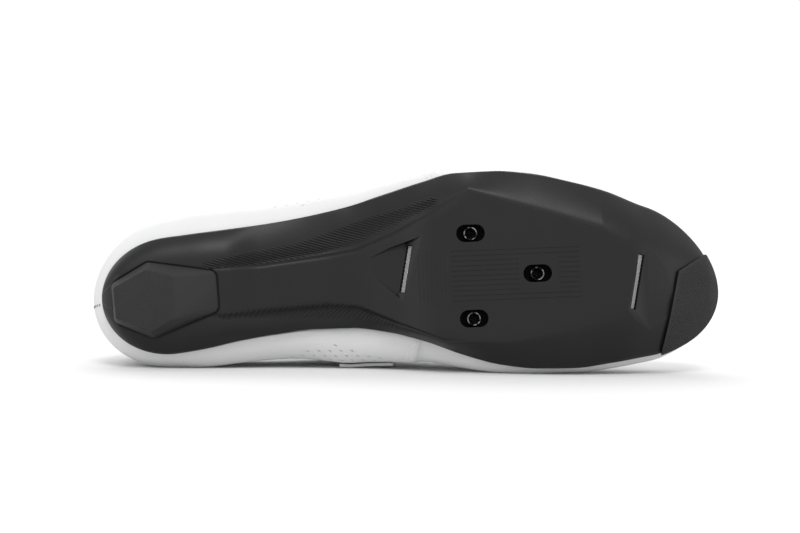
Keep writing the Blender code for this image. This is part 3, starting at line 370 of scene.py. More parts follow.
def shellPoint(at, side, q, out=0.0):
    # A point of the upper's surface, moved out of it square to it
    at, q = np.broadcast_arrays(at, q)
    step = 2e-3
    up = lastSurface(at, side, np.minimum(q + step, 1)) - lastSurface(at, side, np.maximum(q - step, 0))
    back, front = np.maximum(at - step, 0), np.minimum(at + step, 1)
    run = lastSurface(front, side, q) - lastSurface(back, side, q)
    end = (at < 1e-6) | (at > 1 - 1e-6)
    across = np.zeros_like(run)
    across[..., 1] = side * np.where(at < 0.5, 1, -1)
    run = np.where(end[..., None], across, run)
    normal = np.cross(run, up) * -side
    normal[..., 1] = np.where(q > 1 - 1e-6, 0, normal[..., 1])
    normal[..., 2] = np.where(q < 1e-6, 0, normal[..., 2])
    normal /= np.linalg.norm(normal, axis=-1, keepdims=True)
    out = np.broadcast_to(out, at.shape)
    return lastSurface(at, side, q) + normal * out[..., None]


def shareWhere(handles, passed):
    low, high = np.zeros_like(handles[0]), np.ones_like(handles[0])
    for _ in range(22):
        middle = (low + high) / 2
        over = passed(*arch(middle, *handles))
        high = np.where(over, middle, high)
        low = np.where(over, low, middle)
    return lowPart + (1 - lowPart) * high


def shareAtWidth(at, side, half):
    _, full, top, handles = column(at, side)
    reach = np.hypot(full[0] - top[0], full[1] - top[1])
    return shareWhere(handles, lambda lean, rise: lean * reach <= half)


def cutShare(at, side):
    # Where the upper ends: at the collar, at the throat's edge or at the ridge
    _, full, top, handles = column(at, side)
    cut = shareAtWidth(at, side, shoe["throatWidth"] * smooth(throat, "half", at))
    level = smooth(collar, sideNames[side], at)
    atCollar = shareWhere(handles, lambda lean, rise: full[2] + rise * (top[2] - full[2]) >= level)
    cut = np.where(at < collar["at"][-1], np.minimum(cut, atCollar), cut)
    return np.where(at >= throatEnd - 1e-6, 1.0, cut)


# Making meshes
def linked(name, data):
    item = bpy.data.objects.new(name, data)
    bpy.context.scene.collection.objects.link(item)
    return item


def meshObject(name, points, faces, merge=0.0, thin=1e-7, marks=None):
    # A mesh from upright millimetres, with an attribute for each mark, its doubles merged
    mesh = bpy.data.meshes.new(name)
    world = np.array(toWorld)
    placed = np.asarray(points) @ world[:3, :3].T + world[:3, 3]
    mesh.from_pydata(placed.tolist(), [], faces)
    item = linked(name, mesh)
    for mark, values in (marks or {}).items():
        attribute(item, mark, values)
    bm = bmesh.new()
    bm.from_mesh(mesh)
    if merge:
        bmesh.ops.remove_doubles(bm, verts=bm.verts, dist=merge)
        bmesh.ops.dissolve_degenerate(bm, dist=thin, edges=bm.edges)
        bmesh.ops.delete(bm, geom=[v for v in bm.verts if not v.link_faces], context="VERTS")
    bmesh.ops.recalc_face_normals(bm, faces=bm.faces)
    bm.to_mesh(mesh)
    bm.free()
    return item


def ringFaces(rings, count, closed=True):
    # Quads between rings of count points each
    faces = []
    for i in range(rings - 1):
        for j in range(count if closed else count - 1):
            k = (j + 1) % count
            faces.append((i * count + j, i * count + k, (i + 1) * count + k, (i + 1) * count + j))
    return faces


def hull(name, points):
    # The convex form around points
    bm = bmesh.new()
    for point in points:
        bm.verts.new(toWorld @ Vector(point))
    bmesh.ops.convex_hull(bm, input=bm.verts)
    loose = [v for v in bm.verts if not v.link_faces]
    bmesh.ops.delete(bm, geom=loose, context="VERTS")
    bmesh.ops.dissolve_limit(bm, angle_limit=math.radians(0.5), verts=bm.verts, edges=bm.edges)
    bmesh.ops.recalc_face_normals(bm, faces=bm.faces)
    mesh = bpy.data.meshes.new(name)
    bm.to_mesh(mesh)
    bm.free()
    return linked(name, mesh)


def tower(name, outlines):
    # A closed form from outlines with equal counts, one over the other
    points, count = sum(outlines, []), len(outlines[0])
    caps = [tuple(range(count)), tuple(range(len(points) - count, len(points)))]
    return meshObject(name, points, ringFaces(len(outlines), count) + caps)


def boolean(item, tool, operation="DIFFERENCE"):
    modifier = item.modifiers.new(tool.name, "BOOLEAN")
    modifier.object = tool
    modifier.operation = operation
    modifier.solver = "EXACT"


def bevel(item, width, segments=2, angle=25):
    modifier = item.modifiers.new("bevel", "BEVEL")
    modifier.width = width * 0.001
    modifier.segments = segments
    modifier.limit_method = "ANGLE"
    modifier.angle_limit = math.radians(angle)
    modifier.use_clamp_overlap = True


def applied(item, tools=(), sharp=30):
    # The item with its modifiers made real, and the tools removed
    depsgraph = bpy.context.evaluated_depsgraph_get()
    mesh = bpy.data.meshes.new_from_object(item.evaluated_get(depsgraph))
    item.modifiers.clear()
    item.data = mesh
    for tool in tools:
        bpy.data.objects.remove(tool)
    mesh.shade_smooth()
    mesh.set_sharp_from_angle(angle=math.radians(sharp))
    return item


def standingPoints(item):
    # A mesh's corners in the upright shoe's millimetres
    count = len(item.data.vertices)
    co = np.empty(count * 3)
    item.data.vertices.foreach_get("co", co)
    back = np.array(toWorld.inverted())
    return co.reshape(-1, 3) @ back[:3, :3].T + back[:3, 3]


def attribute(item, name, values):
    item.data.attributes.new(name, "FLOAT", "POINT").data.foreach_set("value", np.asarray(values, np.float32))


def circle(x, y, radius, z, sides=40):
    turns = np.linspace(0, 2 * math.pi, sides, endpoint=False)
    return [(x + radius * math.cos(a), y + radius * math.sin(a), z) for a in turns]


def grown(corners, distance):
    # A convex outline moved outwards on every side
    middle = sum(corners, Vector((0, 0))) / len(corners)
    edges = []
    for a, b in zip(corners, corners[1:] + corners[:1]):
        normal = Vector((b.y - a.y, a.x - b.x)).normalized()
        if normal.dot(a - middle) < 0:
            normal = -normal
        edges.append((normal, normal.dot(a) + distance))
    found = []
    for (n1, d1), (n2, d2) in zip(edges[-1:] + edges[:-1], edges):
        det = n1.x * n2.y - n1.y * n2.x
        found.append(Vector(((d1 * n2.y - d2 * n1.y) / det, (n1.x * d2 - n2.x * d1) / det)))
    return found


def rounded(corners, radius, steps=8):
    # A convex outline with round corners
    found = []
    for before, corner, after in zip(corners[-1:] + corners[:-1], corners, corners[1:] + corners[:1]):
        a, b = (before - corner).normalized(), (after - corner).normalized()
        half = a.angle(b) / 2
        middle = corner + (a + b).normalized() * radius / math.sin(half)
        start = corner + a * radius / math.tan(half) - middle
        turn = start.angle_signed(corner + b * radius / math.tan(half) - middle)
        found += [middle + Matrix.Rotation(-turn * k / steps, 2) @ start for k in range(steps + 1)]
    return found


def atHeight(outline, z):
    return [(p[0], p[1], z) for p in outline]


# Nodes: one function adds a node with its settings and links
def add(tree, kind, settings=None, inputs=None):
    node = tree.nodes.new(kind)
    for name, value in (settings or {}).items():
        setattr(node, name, value)
    for key, value in (inputs or {}).items():
        if isinstance(value, bpy.types.Node):
            value = value.outputs[0]
        if isinstance(value, bpy.types.NodeSocket):
            tree.links.new(value, node.inputs[key])
        else:
            node.inputs[key].default_value = value
    return node


def colour(code):
    # sRGB hex to linear
    values = [int(code[i:i + 2], 16) / 255 for i in (1, 3, 5)]
    return (*[v / 12.92 if v <= 0.04045 else ((v + 0.055) / 1.055) ** 2.4 for v in values], 1)


def newMaterial(name, finish):
    made = bpy.data.materials.new(name)
    made.use_nodes = True
    shader = made.node_tree.nodes["Principled BSDF"]
    for socket, value in finish.items():
        shader.inputs[socket].default_value = value
    return made, made.node_tree, shader


def standing(tree):
    # Object coordinates turned into the upright shoe's millimetres
    back = lay.transposed()
    spot = add(tree, "ShaderNodeTexCoord").outputs["Object"]
    place = {"Vector": spot, "Location": back @ origin * -1000, "Rotation": back.to_euler(),
             "Scale": (1000,) * 3}
    return add(tree, "ShaderNodeMapping", {}, place)


def turned(tree, spot, degrees):
    # Runs square to lines that lean by this angle from the shoe's length
    angle = math.radians(degrees)
    across = (-math.sin(angle), math.cos(angle), 0)
    run = add(tree, "ShaderNodeVectorMath", {"operation": "DOT_PRODUCT"}, {0: spot, 1: across})
    return run.outputs["Value"]


def chain(tree, operation, *values):
    # One operation over several values
    found = values[0]
    for value in values[1:]:
        found = add(tree, "ShaderNodeMath", {"operation": operation}, {0: found, 1: value})
    return found


def lines(tree, along, pitch, wide, soft=0.12):
    # 1 on lines a pitch apart, 0 between them
    edge = {"Value": chain(tree, "PINGPONG", along, pitch / 2), "From Min": (wide - soft) / 2,
            "From Max": (wide + soft) / 2, "To Min": 1.0, "To Max": 0.0}
    return add(tree, "ShaderNodeMapRange", {}, edge)


def crossed(tree, spot, leans, pitch):
    # Two sets of ridges a pitch apart
    return [chain(tree, "PINGPONG", turned(tree, spot, lean), pitch / 2) for lean in leans]


def span(tree, along, middle, half, soft=0.2):
    # 1 within half of the middle
    off = chain(tree, "SUBTRACT", along, middle)
    size = add(tree, "ShaderNodeMath", {"operation": "ABSOLUTE"}, {0: off})
    edge = {"Value": size, "From Min": half - soft, "From Max": half, "To Min": 1.0, "To Max": 0.0}
    return add(tree, "ShaderNodeMapRange", {}, edge)


def relief(tree, shader, height):
    # Heights are in millimetres
    bump = add(tree, "ShaderNodeBump", {}, {"Height": height, "Strength": 1.0, "Distance": 0.001})
    tree.links.new(bump.outputs["Normal"], shader.inputs["Normal"])


def blend(tree, factor, dark, light):
    # From one colour to another: hex codes or colours that nodes give
    dark, light = [colour(value) if isinstance(value, str) else value for value in (dark, light)]
    return add(tree, "ShaderNodeMix", {"data_type": "RGBA"}, {0: factor, 6: dark, 7: light}).outputs[2]


def tint(tree, shader, factor, dark, light):
    mix = blend(tree, factor, dark, light)
    tree.links.new(mix, shader.inputs["Base Color"])
    return mix


print("stage: forms")

# The three slots, the pads and the vents
cleat = {
    "place": 174.2, "spread": 36.7, "depth": 28.0, "slotLength": 12.2, "slotWidth": 7.4,
    "nut": 6.2, "bore": 4.2, "recess": 1.4, "plate": 2.0, "margin": 5.0, "pocket": 3.0,
    "rimCut": 0.3, "mouth": 0.45, "over": 9.0,
}
bolts = [
    (cleat["place"] - cleat["depth"] / 2, -cleat["spread"] / 2),
    (cleat["place"] - cleat["depth"] / 2, cleat["spread"] / 2),
    (cleat["place"] + cleat["depth"] / 2, 0.0),
]
pocketFloor = float(topHeight(cleat["place"] / shoe["length"])) - cleat["pocket"]
heelPad = {
    "start": 5.2, "length": 45.7, "width": 32.7, "seat": 2.0, "groove": 0.9, "radius": 3.0,
    "outline": [(0.344, -0.364), (0.985, -0.208), (1.0, 0.309), (0.379, 0.636), (0.018, 0.404),
                (0.0, -0.095)],
    "tread": [(0.337, -0.251), (0.547, -0.159), (0.569, 0.416), (0.383, 0.563), (0.050, 0.367),
              (0.031, -0.028)],
    "front": [(0.965, -0.150), (0.975, 0.255)], "frontRise": 0.76, "side": 0.9, "bevel": 0.35,
}
toePad = {
    "length": 26.1, "width": 43.0, "seat": 1.6, "proud": 0.9, "joint": 0.06, "cut": (-12.0, 72.0),
    "border": [(0.188, -0.165), (0.674, 0.015), (1.00, 0.80)],
}
vents = [
    {"name": "archVent", "node": "arch_vent_mesh", "middle": 0.5005, "across": 0.050, "width": 31.0,
     "apex": 0.0768, "end": 0.02, "foot": 0.80, "slit": 0.67, "turn": 11.5, "depth": 3.4, "toward": 1},
    {"name": "toeVent", "node": "toe_vent_mesh", "middle": 0.8585, "across": -0.057, "width": 25.5,
     "apex": 0.0700, "end": 0.62, "foot": 0.98, "slit": 0.94, "turn": 12.0, "depth": 2.4, "toward": -1},
]
ventSlit = {"width": 3.0, "lean": 1.2, "mesh": 0.8, "reach": 4.0, "through": (-1.0, 20.0)}
soleMesh = {"outsole": 1.3, "toePad": 1.1, "corner": 0.4}


def padCorners(shares):
    return [Vector((heelPad["start"] + heelPad["length"] * a, heelPad["width"] * b)) for a, b in shares]


def soleForm(name, grow=0.0, step=1.7):
    # The whole sole as one closed form, grown or shrunk all round
    at = stations(step, (0.199, 0.477, 0.599, 0.811, 0.849))
    lateralY, lateralZ = bottomSide(at, -1, grow)
    medialY, medialZ = bottomSide(at, 1, grow)
    top = topHeight(at)[:, None]
    corner = soleMesh["corner"] * endFactor(at)[:, None]
    across = np.linspace(0, 1, 14)[None, :]
    lateral, medial = lateralY[:, -1:], medialY[:, -1:]
    roofY = (medial - corner) + (lateral - medial + 2 * corner) * across
    y = np.hstack([lateralY[:, ::-1], medialY[:, 1:], medial, roofY, lateral])
    z = np.hstack([lateralZ[:, ::-1], medialZ[:, 1:], top - corner, top + 0 * roofY, top - corner])
    x = (shoe["length"] * at + grow * (2 * at - 1))[:, None] + 0 * y
    points = np.stack([x, y, z], axis=-1)
    return meshObject(name, points.reshape(-1, 3), ringFaces(len(at), y.shape[1]), merge=4e-6)


def slab(name, centre, long, tall, inward, low, high):
    # The slit's own form, from low to high into the sole
    side = tall * ventSlit["width"] / 2
    corners = [centre + long * a + side * b for a in (-1, 1) for b in (-1, 1)]
    return hull(name, [corner + inward * depth for corner in corners for depth in (low, high)])


def ventFrame(vent):
    # The slit's middle and foot, its direction across, up its ramp and up its wall, and into the sole
    turn = Matrix.Rotation(math.radians(vent["turn"]), 3, "Z")
    across, ramp = turn @ Vector((0, 1, 0)), turn @ Vector((-vent["toward"], 0, 0))
    middle = Vector((shoe["length"] * vent["middle"], -vent["across"] * shoe["ballWidth"], 0))
    middle.z = bottomHeight(middle.x, middle.y)
    foot = middle + ramp * ventSlit["lean"] * vent["depth"] + Vector((0, 0, vent["depth"]))
    tall = (foot - middle).normalized()
    inward = across.cross(tall).normalized()
    inward = inward if inward.z > 0 else -inward
    return middle, foot, across, ramp, tall, inward


def ventTools(vent):
    middle, foot, across, ramp, tall, inward = ventFrame(vent)
    reach, half = ventSlit["reach"], across * vent["width"] / 2
    down = Vector((0, 0, -reach))
    lip = middle - ramp * ventSlit["lean"] * reach + down
    apex = middle + ramp * shoe["length"] * vent["apex"]
    apex.z = bottomHeight(apex.x, apex.y) - shoe["gap"]
    end = across * vent["end"] * shoe["ballWidth"] / 2
    wedge = [foot + half * vent["foot"], foot - half * vent["foot"], lip + half, lip - half]
    wedge += [apex + end, apex - end, apex + end + down, apex - end + down]
    centre = (middle + foot) / 2
    return [
        hull(vent["name"] + "Wedge", wedge),
        slab(vent["name"] + "Slit", centre, half * vent["slit"], tall, inward, *ventSlit["through"]),
    ]


def padPrism(name, margin):
    # The toe pad's plan, drawn from below the ground to above the sole
    tip = shoe["length"]
    ring = [(tip - toePad["length"] * a, toePad["width"] * b) for a, b in toePad["border"]]
    (x1, y1), (x2, y2), (x3, y3) = ring
    reach = 2 * toePad["length"]
    outline = [(x1 - margin, y1 - margin), (x2 - margin, y2), (x3 - margin, y3), (x3 - margin, y3 + reach),
               (tip + reach, y3 + reach), (tip + reach, y1 - margin)]
    return tower(name, [atHeight(outline, z) for z in toePad["cut"]])


def slotOutline(x, y, radius, z, sides=20):
    half = (cleat["slotLength"] - cleat["slotWidth"]) / 2
    turns = np.linspace(-math.pi / 2, math.pi / 2, sides)
    front = [(x + half + radius * math.cos(a), y + radius * math.sin(a), z) for a in turns]
    return front + [(x - half - radius * math.cos(a), y - radius * math.sin(a), z) for a in turns]


def makeOutsole():
    sole = soleForm("outsoleSkin", step=soleMesh["outsole"])
    travel = (cleat["slotLength"] - cleat["nut"]) / 2 - shoe["gap"]
    radius = cleat["nut"] / 2 + cleat["margin"] + 2 * shoe["gap"]
    pocket = []
    for x, y in bolts:
        for move in (-travel, travel):
            for z in (pocketFloor, pocketFloor + cleat["over"]):
                pocket += circle(x + move, y, radius, z)
    tools = [hull("pocket", pocket)]
    # A slot's heights, and how much wider it is there
    profile = ((-7.0, 0.2), (-0.02, 0.2), (0.06, 0.07), (0.2, 0.0), (pocketFloor + 1.5, 0.0))
    for k, (x, y) in enumerate(bolts):
        outlines = [slotOutline(x, y, cleat["slotWidth"] / 2 + grow, z) for z, grow in profile]
        tools.append(tower(f"slot{k}", outlines))
    groove = heelPad["groove"]
    bed = rounded(grown(padCorners(heelPad["outline"]), groove), heelPad["radius"] + groove)
    seat = shoe["heelFace"] + heelPad["seat"]
    tools.append(hull("heelBed", atHeight(bed, seat) + atHeight(bed, -seat)))
    for vent in vents:
        tools += ventTools(vent)
    toeSeat = padPrism("toeSeat", toePad["joint"])
    back = soleForm("toeSeatBack", -toePad["seat"])
    boolean(toeSeat, back)
    tools.append(toeSeat)
    for tool in tools:
        boolean(sole, tool)
    return applied(sole, tools + [back])


# The two ribbed bands beside the spine: inner and outer edges as x and y, and the ribs' lean and pitch
ribBar = {"width": 0.74, "proud": 0.16, "fade": 0.55, "step": 0.7}
ribBands = {
    "lateralRibs": {
        "side": -1, "lean": 17.0, "pitch": 1.1,
        "inner": ([44.7, 50.7, 68.4, 79.4, 90.0, 97.6, 102.9, 116.2, 130.3, 147.2],
                  [-8.6, -8.0, -9.4, -10.6, -12.1, -13.7, -15.2, -19.0, -24.4, -31.3]),
        "outer": ([44.7, 60.9, 75.9, 89.6, 102.9, 116.2, 130.3, 147.6],
                  [-11.7, -15.0, -17.5, -20.4, -24.9, -28.9, -31.6, -36.3]),
    },
    "medialRibs": {
        "side": 1, "lean": -42.0, "pitch": 1.45,
        "inner": ([50.9, 71.6, 92.2, 105.2, 115.2, 127.2, 143.6], [11.3, 9.2, 7.8, 8.1, 11.4, 18.6, 26.1]),
        "outer": ([50.9, 81.5, 107.0, 119.0, 127.0, 143.6], [14.0, 14.2, 15.6, 18.6, 21.4, 28.2]),
    },
}


def ribRows(band):
    # Lines over the band at the ribs' lean, laid on the sole
    lean = math.radians(band["lean"])
    x = np.arange(band["outer"][0][0], band["outer"][0][-1], ribBar["step"])
    near, far = np.interp(x, *band["inner"]), np.interp(x, *band["outer"])
    offsets = np.concatenate([near, far]) * math.cos(lean) - np.tile(x, 2) * math.sin(lean)
    rows = []
    for offset in np.arange(offsets.min(), offsets.max(), band["pitch"]):
        y = (offset + x * math.sin(lean)) / math.cos(lean)
        inside = np.flatnonzero(np.minimum(band["side"] * (y - near), band["side"] * (far - y)) > 0)
        if len(inside) > 3:
            sunk = ribBar["fade"] * np.linspace(-1, 1, len(inside)) ** 4 - ribBar["proud"]
            rows.append([(x[i], y[i], bottomHeight(x[i], y[i]) + sink) for i, sink in zip(inside, sunk)])
    return rows


def pathTree(name, sockets):
    # A tree that takes a path and these inputs, with its path as a curve
    tree = bpy.data.node_groups.new(name, "GeometryNodeTree")
    for socket, kind in {"Path": "Geometry", **sockets, "Finish": "Material"}.items():
        tree.interface.new_socket(socket, in_out="INPUT", socket_type="NodeSocket" + kind)
    tree.interface.new_socket("Made", in_out="OUTPUT", socket_type="NodeSocketGeometry")
    given = add(tree, "NodeGroupInput").outputs
    return tree, given, add(tree, "GeometryNodeMeshToCurve", {}, {"Mesh": given["Path"]})


def closeTree(tree, given, shape):
    # What every such tree ends in
    even = add(tree, "GeometryNodeSetShadeSmooth", {}, {"Geometry": shape})
    real = add(tree, "GeometryNodeRealizeInstances", {}, {"Geometry": even})
    done = add(tree, "GeometryNodeSetMaterial", {}, {"Geometry": real, "Material": given["Finish"]})
    add(tree, "NodeGroupOutput", {}, {"Made": done})
    return tree


def ribTree():
    tree, given, curve = pathTree("ribs", {"Width": "Float"})
    half = add(tree, "ShaderNodeMath", {"operation": "MULTIPLY"}, {0: given["Width"], 1: 0.5})
    profile = add(tree, "GeometryNodeCurvePrimitiveCircle", {}, {"Resolution": 8, "Radius": half})
    bars = add(tree, "GeometryNodeCurveToMesh", {},
               {"Curve": curve, "Profile Curve": profile, "Fill Caps": True})
    return closeTree(tree, given, bars)


def makeHeelPad():
    outline = rounded(padCorners(heelPad["outline"]), heelPad["radius"])
    tread = rounded(padCorners(heelPad["tread"]), heelPad["radius"] / 2, 4)
    seat = shoe["heelFace"] + heelPad["seat"]
    front = padCorners(heelPad["front"])
    points = atHeight(outline, seat - shoe["gap"]) + atHeight(outline, shoe["heelFace"] * heelPad["side"])
    points += atHeight(tread, 0.0) + atHeight(front, shoe["heelFace"] * heelPad["frontRise"])
    pad = hull("heelPadSkin", points)
    bevel(pad, heelPad["bevel"], 3)
    return applied(pad)


def makeToePad():
    pad = soleForm("toePadSkin", toePad["proud"], soleMesh["toePad"])
    plan, back = padPrism("toePadPlan", 0.0), soleForm("toePadBack", -(toePad["seat"] - shoe["gap"]))
    boolean(pad, plan, "INTERSECT")
    boolean(pad, back)
    applied(pad, [plan, back])
    # How far each point lies from the border, for the hatch that stops short of it
    spots = standingPoints(pad)[:, :2]
    border = [(shoe["length"] - toePad["length"] * a, toePad["width"] * b) for a, b in toePad["border"]]
    rim = np.full(len(spots), shoe["length"])
    for (x1, y1), (x2, y2) in zip(border, border[1:]):
        normal = np.array([y2 - y1, x1 - x2]) / math.hypot(y2 - y1, x1 - x2)
        rim = np.minimum(rim, np.abs((spots - (x1, y1)) @ normal))
    attribute(pad, "rim", rim)
    return pad


def makeCleatPlate():
    low = pocketFloor + shoe["gap"]
    high = low + cleat["plate"]
    nut, rim, cut, mouth = cleat["nut"] / 2, cleat["recess"], cleat["rimCut"], cleat["mouth"]
    outline = [p for x, y in bolts for z in (low, high) for p in circle(x, y, nut + cleat["margin"], z)]
    plate = hull("cleatPlateSkin", outline)
    tools = []
    for k, (x, y) in enumerate(bolts):
        levels = ((rim, cut), (rim + cut, 0.0), (high - shoe["gap"], 0.0))
        boss = hull(f"boss{k}", [p for z, less in levels for p in circle(x, y, nut - less, z)])
        boolean(plate, boss, "UNION")
        tools.append(boss)
    for k, (x, y) in enumerate(bolts):
        profile = ((-cleat["over"], mouth), (rim - 0.05, mouth), (rim + 0.4, 0.0),
                   (high + cleat["over"], 0.0))
        bore = tower(f"bore{k}", [circle(x, y, cleat["bore"] / 2 + more, z, 36) for z, more in profile])
        boolean(plate, bore)
        tools.append(bore)
    return applied(plate, tools)


# Vent mesh: crossing yarns in the slit, on a thin backing
weave = {"pitch": 0.85, "yarn": 0.17, "wave": 0.12, "sunk": 0.35, "free": 0.6, "hem": 0.4,
         "backing": (0.35, 0.60)}


def makeVentMesh(vent):
    middle, foot, across, ramp, tall, inward = ventFrame(vent)
    centre = (middle + foot) / 2
    length, width = vent["width"] * vent["slit"] - weave["free"], ventSlit["width"] - weave["free"]
    points, faces = [], []

    def yarn(start, end, first):
        # One yarn that goes over and under the others
        steps, sides, known = 2 * max(2, round((end - start).length / weave["pitch"])), 6, len(points)
        other = (end - start).normalized().cross(inward)
        for i in range(steps + 1):
            lift = weave["wave"] * first * math.sin(math.pi * (i + 0.5))
            place = start.lerp(end, i / steps) + inward * lift
            for j in range(sides):
                a = 2 * math.pi * j / sides
                points.append(place + (other * math.cos(a) + inward * math.sin(a)) * weave["yarn"])
        for face in ringFaces(steps + 1, sides):
            faces.append(tuple(known + k for k in face))

    base = centre + inward * (ventSlit["mesh"] + weave["sunk"])
    for way, extent, other, reach in ((tall, width, across, length), (across, length, tall, width)):
        count = round(extent / weave["pitch"])
        for k in range(count + 1):
            place = base + way * (k / count - 0.5) * (extent - weave["hem"])
            yarn(place - other * reach / 2, place + other * reach / 2, 1 if k % 2 else -1)
    for depth in weave["backing"]:
        for a, b in ((-1, -1), (1, -1), (1, 1), (-1, 1)):
            points.append(base + across * a * length / 2 + tall * b * width / 2 + inward * depth)
    k = len(points) - 8
    faces.extend([(k, k + 1, k + 2, k + 3), (k + 7, k + 6, k + 5, k + 4)])
    faces.extend((k + i, k + (i + 1) % 4, k + 4 + (i + 1) % 4, k + 4 + i) for i in range(4))
    item = meshObject(vent["name"] + "Weave", [tuple(p) for p in points], faces)
    item.data.shade_smooth()
    return item


# Steps in millimetres, rows up a side, and the cut edge's rows and roundness
upperGrid = {"step": 1.9, "rows": 46, "edge": 6, "edgeRound": 0.8, "quarter": 0.0015, "sharp": 50}
# The collar's seam, in millimetres from the cut edge; dark is how far its groove is painted grey, as painted
# shade
seams = {"collar": 15.0, "width": 0.7, "depth": 0.3, "end": 88.0, "dark": 0.55}


def makeUpper():
    # Outside, round edge and inside of both sides, as one ring of rows at each station
    fixed = [throatEnd]
    for front in quarterFront.values():
        fixed += [front, front + upperGrid["quarter"]]
    at = stations(upperGrid["step"], fixed)
    rows = np.linspace(0, 1, upperGrid["rows"])
    points, faces, marks = [], [], {"girth": [], "inside": [], "rise": []}
    for side in (-1, 1):
        cut = cutShare(at, side)[:, None]
        q = cut * rows[None, :]
        a = at[:, None] + 0 * q
        outer = shellPoint(a, side, q, quarterRise(a, side))
        pad = paddingAt(a, rows[None, :] + 0 * q)
        inner = shellPoint(a, side, q, -shoe["wall"] - pad)
        opened = (cut < 1.0).astype(float)[..., None]
        centre, arm = (outer[:, -1:] + inner[:, -1:]) / 2, (outer[:, -1:] - inner[:, -1:]) / 2
        up = outer[:, -1:] - outer[:, -2:-1]
        up /= np.linalg.norm(up, axis=-1, keepdims=True)
        reach = np.linalg.norm(arm, axis=-1, keepdims=True)
        turns = np.linspace(0, math.pi, upperGrid["edge"] + 2)[None, 1:-1, None]
        edge = centre + arm * np.cos(turns) + up * reach * np.sin(turns) * opened * upperGrid["edgeRound"]
        ring = np.concatenate([outer, edge, inner[:, ::-1]], axis=1)
        gap = np.linalg.norm(np.diff(outer, axis=1), axis=-1)
        girth = np.concatenate([np.zeros((len(at), 1)), np.cumsum(gap, axis=1)], axis=1)
        left, bare = girth[:, -1:] - girth, 0 * edge[..., 0]
        first = len(points)
        points.extend(ring.reshape(-1, 3))
        for mark, parts in {"girth": (girth, girth[:, -1:] + bare, girth[:, ::-1]),
                            "inside": (0 * girth, bare + 0.5, 0 * girth + 1),
                            "rise": (left, bare, left[:, ::-1])}.items():
            marks[mark].extend(np.concatenate(parts, axis=1).reshape(-1))
        closed = cut[:, 0] > 1 - 1e-9
        for face in ringFaces(len(at), ring.shape[1]):
            i, j = divmod(face[0], ring.shape[1])
            if not (closed[i] and closed[i + 1] and -1 <= j - len(rows) < upperGrid["edge"]):
                faces.append(tuple(first + k for k in face))
    item = meshObject("upperSkin", points, faces, 1e-5, 1e-6, marks)
    item.data.shade_smooth()
    item.data.set_sharp_from_angle(angle=math.radians(upperGrid["sharp"]))
    return item


def makeSheet(name, at, rowsOf, low, high):
    # A strip over the ridge between two offsets of the upper
    def layer(height):
        found = []
        for side in (-1, 1):
            rows = rowsOf(at, side)
            along = at[:, None] + 0 * rows
            found.append(shellPoint(along, side, rows, height(along, side)))
        return np.concatenate([found[0], found[1][:, ::-1][:, 1:]], axis=1)

    over = layer(high)
    ring = np.concatenate([over, layer(low)[:, ::-1]], axis=1)
    count = ring.shape[1]
    faces = ringFaces(len(at), count)
    for i in (0, len(at) - 1):
        for j in range(over.shape[1] - 1):
            a, b = i * count + j, i * count + count - 1 - j
            faces.append((a, a + 1, b - 1, b))
    return meshObject(name, ring.reshape(-1, 3), faces, merge=1e-6)


straps = [
    {"node": "instep_strap", "middle": 0.460, "width": 26.0, "lateral": 5, "medial": 3},
    {"node": "forefoot_strap", "middle": 0.612, "width": 21.0, "lateral": 5, "medial": 5},
]
strapLayer = {"thickness": 1.5, "clearance": 0.5, "rows": 9, "bevel": 0.45,
              "across": 22, "up": 40, "over": 14}


def makeStrap(strap):
    half = strap["width"] / shoe["length"] / 2
    at = np.linspace(strap["middle"] - half, strap["middle"] + half, strapLayer["across"])

    def rowsOf(at, side):
        cut = cutShare(at, side)[:, None]
        first = strap[sideNames[side]] / strapLayer["rows"]
        up = first + (1 - first) * np.linspace(0, 1, strapLayer["up"])[None, :]
        over = np.linspace(0, 1, strapLayer["over"])[None, 1:]
        return np.concatenate([cut * up, cut + (1 - cut) * over], axis=1)

    def low(at, side):
        return quarterRise(at, side) + strapLayer["clearance"]

    def high(at, side):
        return low(at, side) + strapLayer["thickness"]

    item = makeSheet(strap["node"].replace("_strap", "StrapSkin"), at, rowsOf, low, high)
    bevel(item, strapLayer["bevel"], 3, 40)
    return applied(item, sharp=50)


tongue = {"back": 0.330, "front": 0.720, "round": 0.060, "width": 56.0, "narrower": 0.35,
          "thickness": 3.0, "clearance": 0.9, "bevel": 1.1, "rows": 70, "closer": 1.6, "across": 20}


def makeTongue():
    # Its rows stand closer together at the round top
    back, run = tongue["back"], tongue["front"] - tongue["back"]
    at = back + run * np.linspace(0, 1, tongue["rows"]) ** tongue["closer"]

    def rowsOf(at, side):
        share = (at - back) / run
        curl = 1 - np.minimum(1, (at - back) / tongue["round"])
        less = tongue["narrower"]
        half = tongue["width"] / 2 * (1 - less * share ** 2) * (less + (1 - less) * np.sqrt(1 - curl ** 2))
        start = shareAtWidth(at, side, half)[:, None]
        return start + (1 - start) * np.linspace(0, 1, tongue["across"])[None, :]

    def high(at, side):
        return -(shoe["wall"] + tongue["clearance"]) + 0 * at

    def low(at, side):
        return high(at, side) - tongue["thickness"]

    item = makeSheet("tongueSkin", at, rowsOf, low, high)
    bevel(item, tongue["bevel"], 4, 40)
    return applied(item, sharp=50)


insole = {"thickness": 3.0, "step": 2.5, "bevel": 0.5}


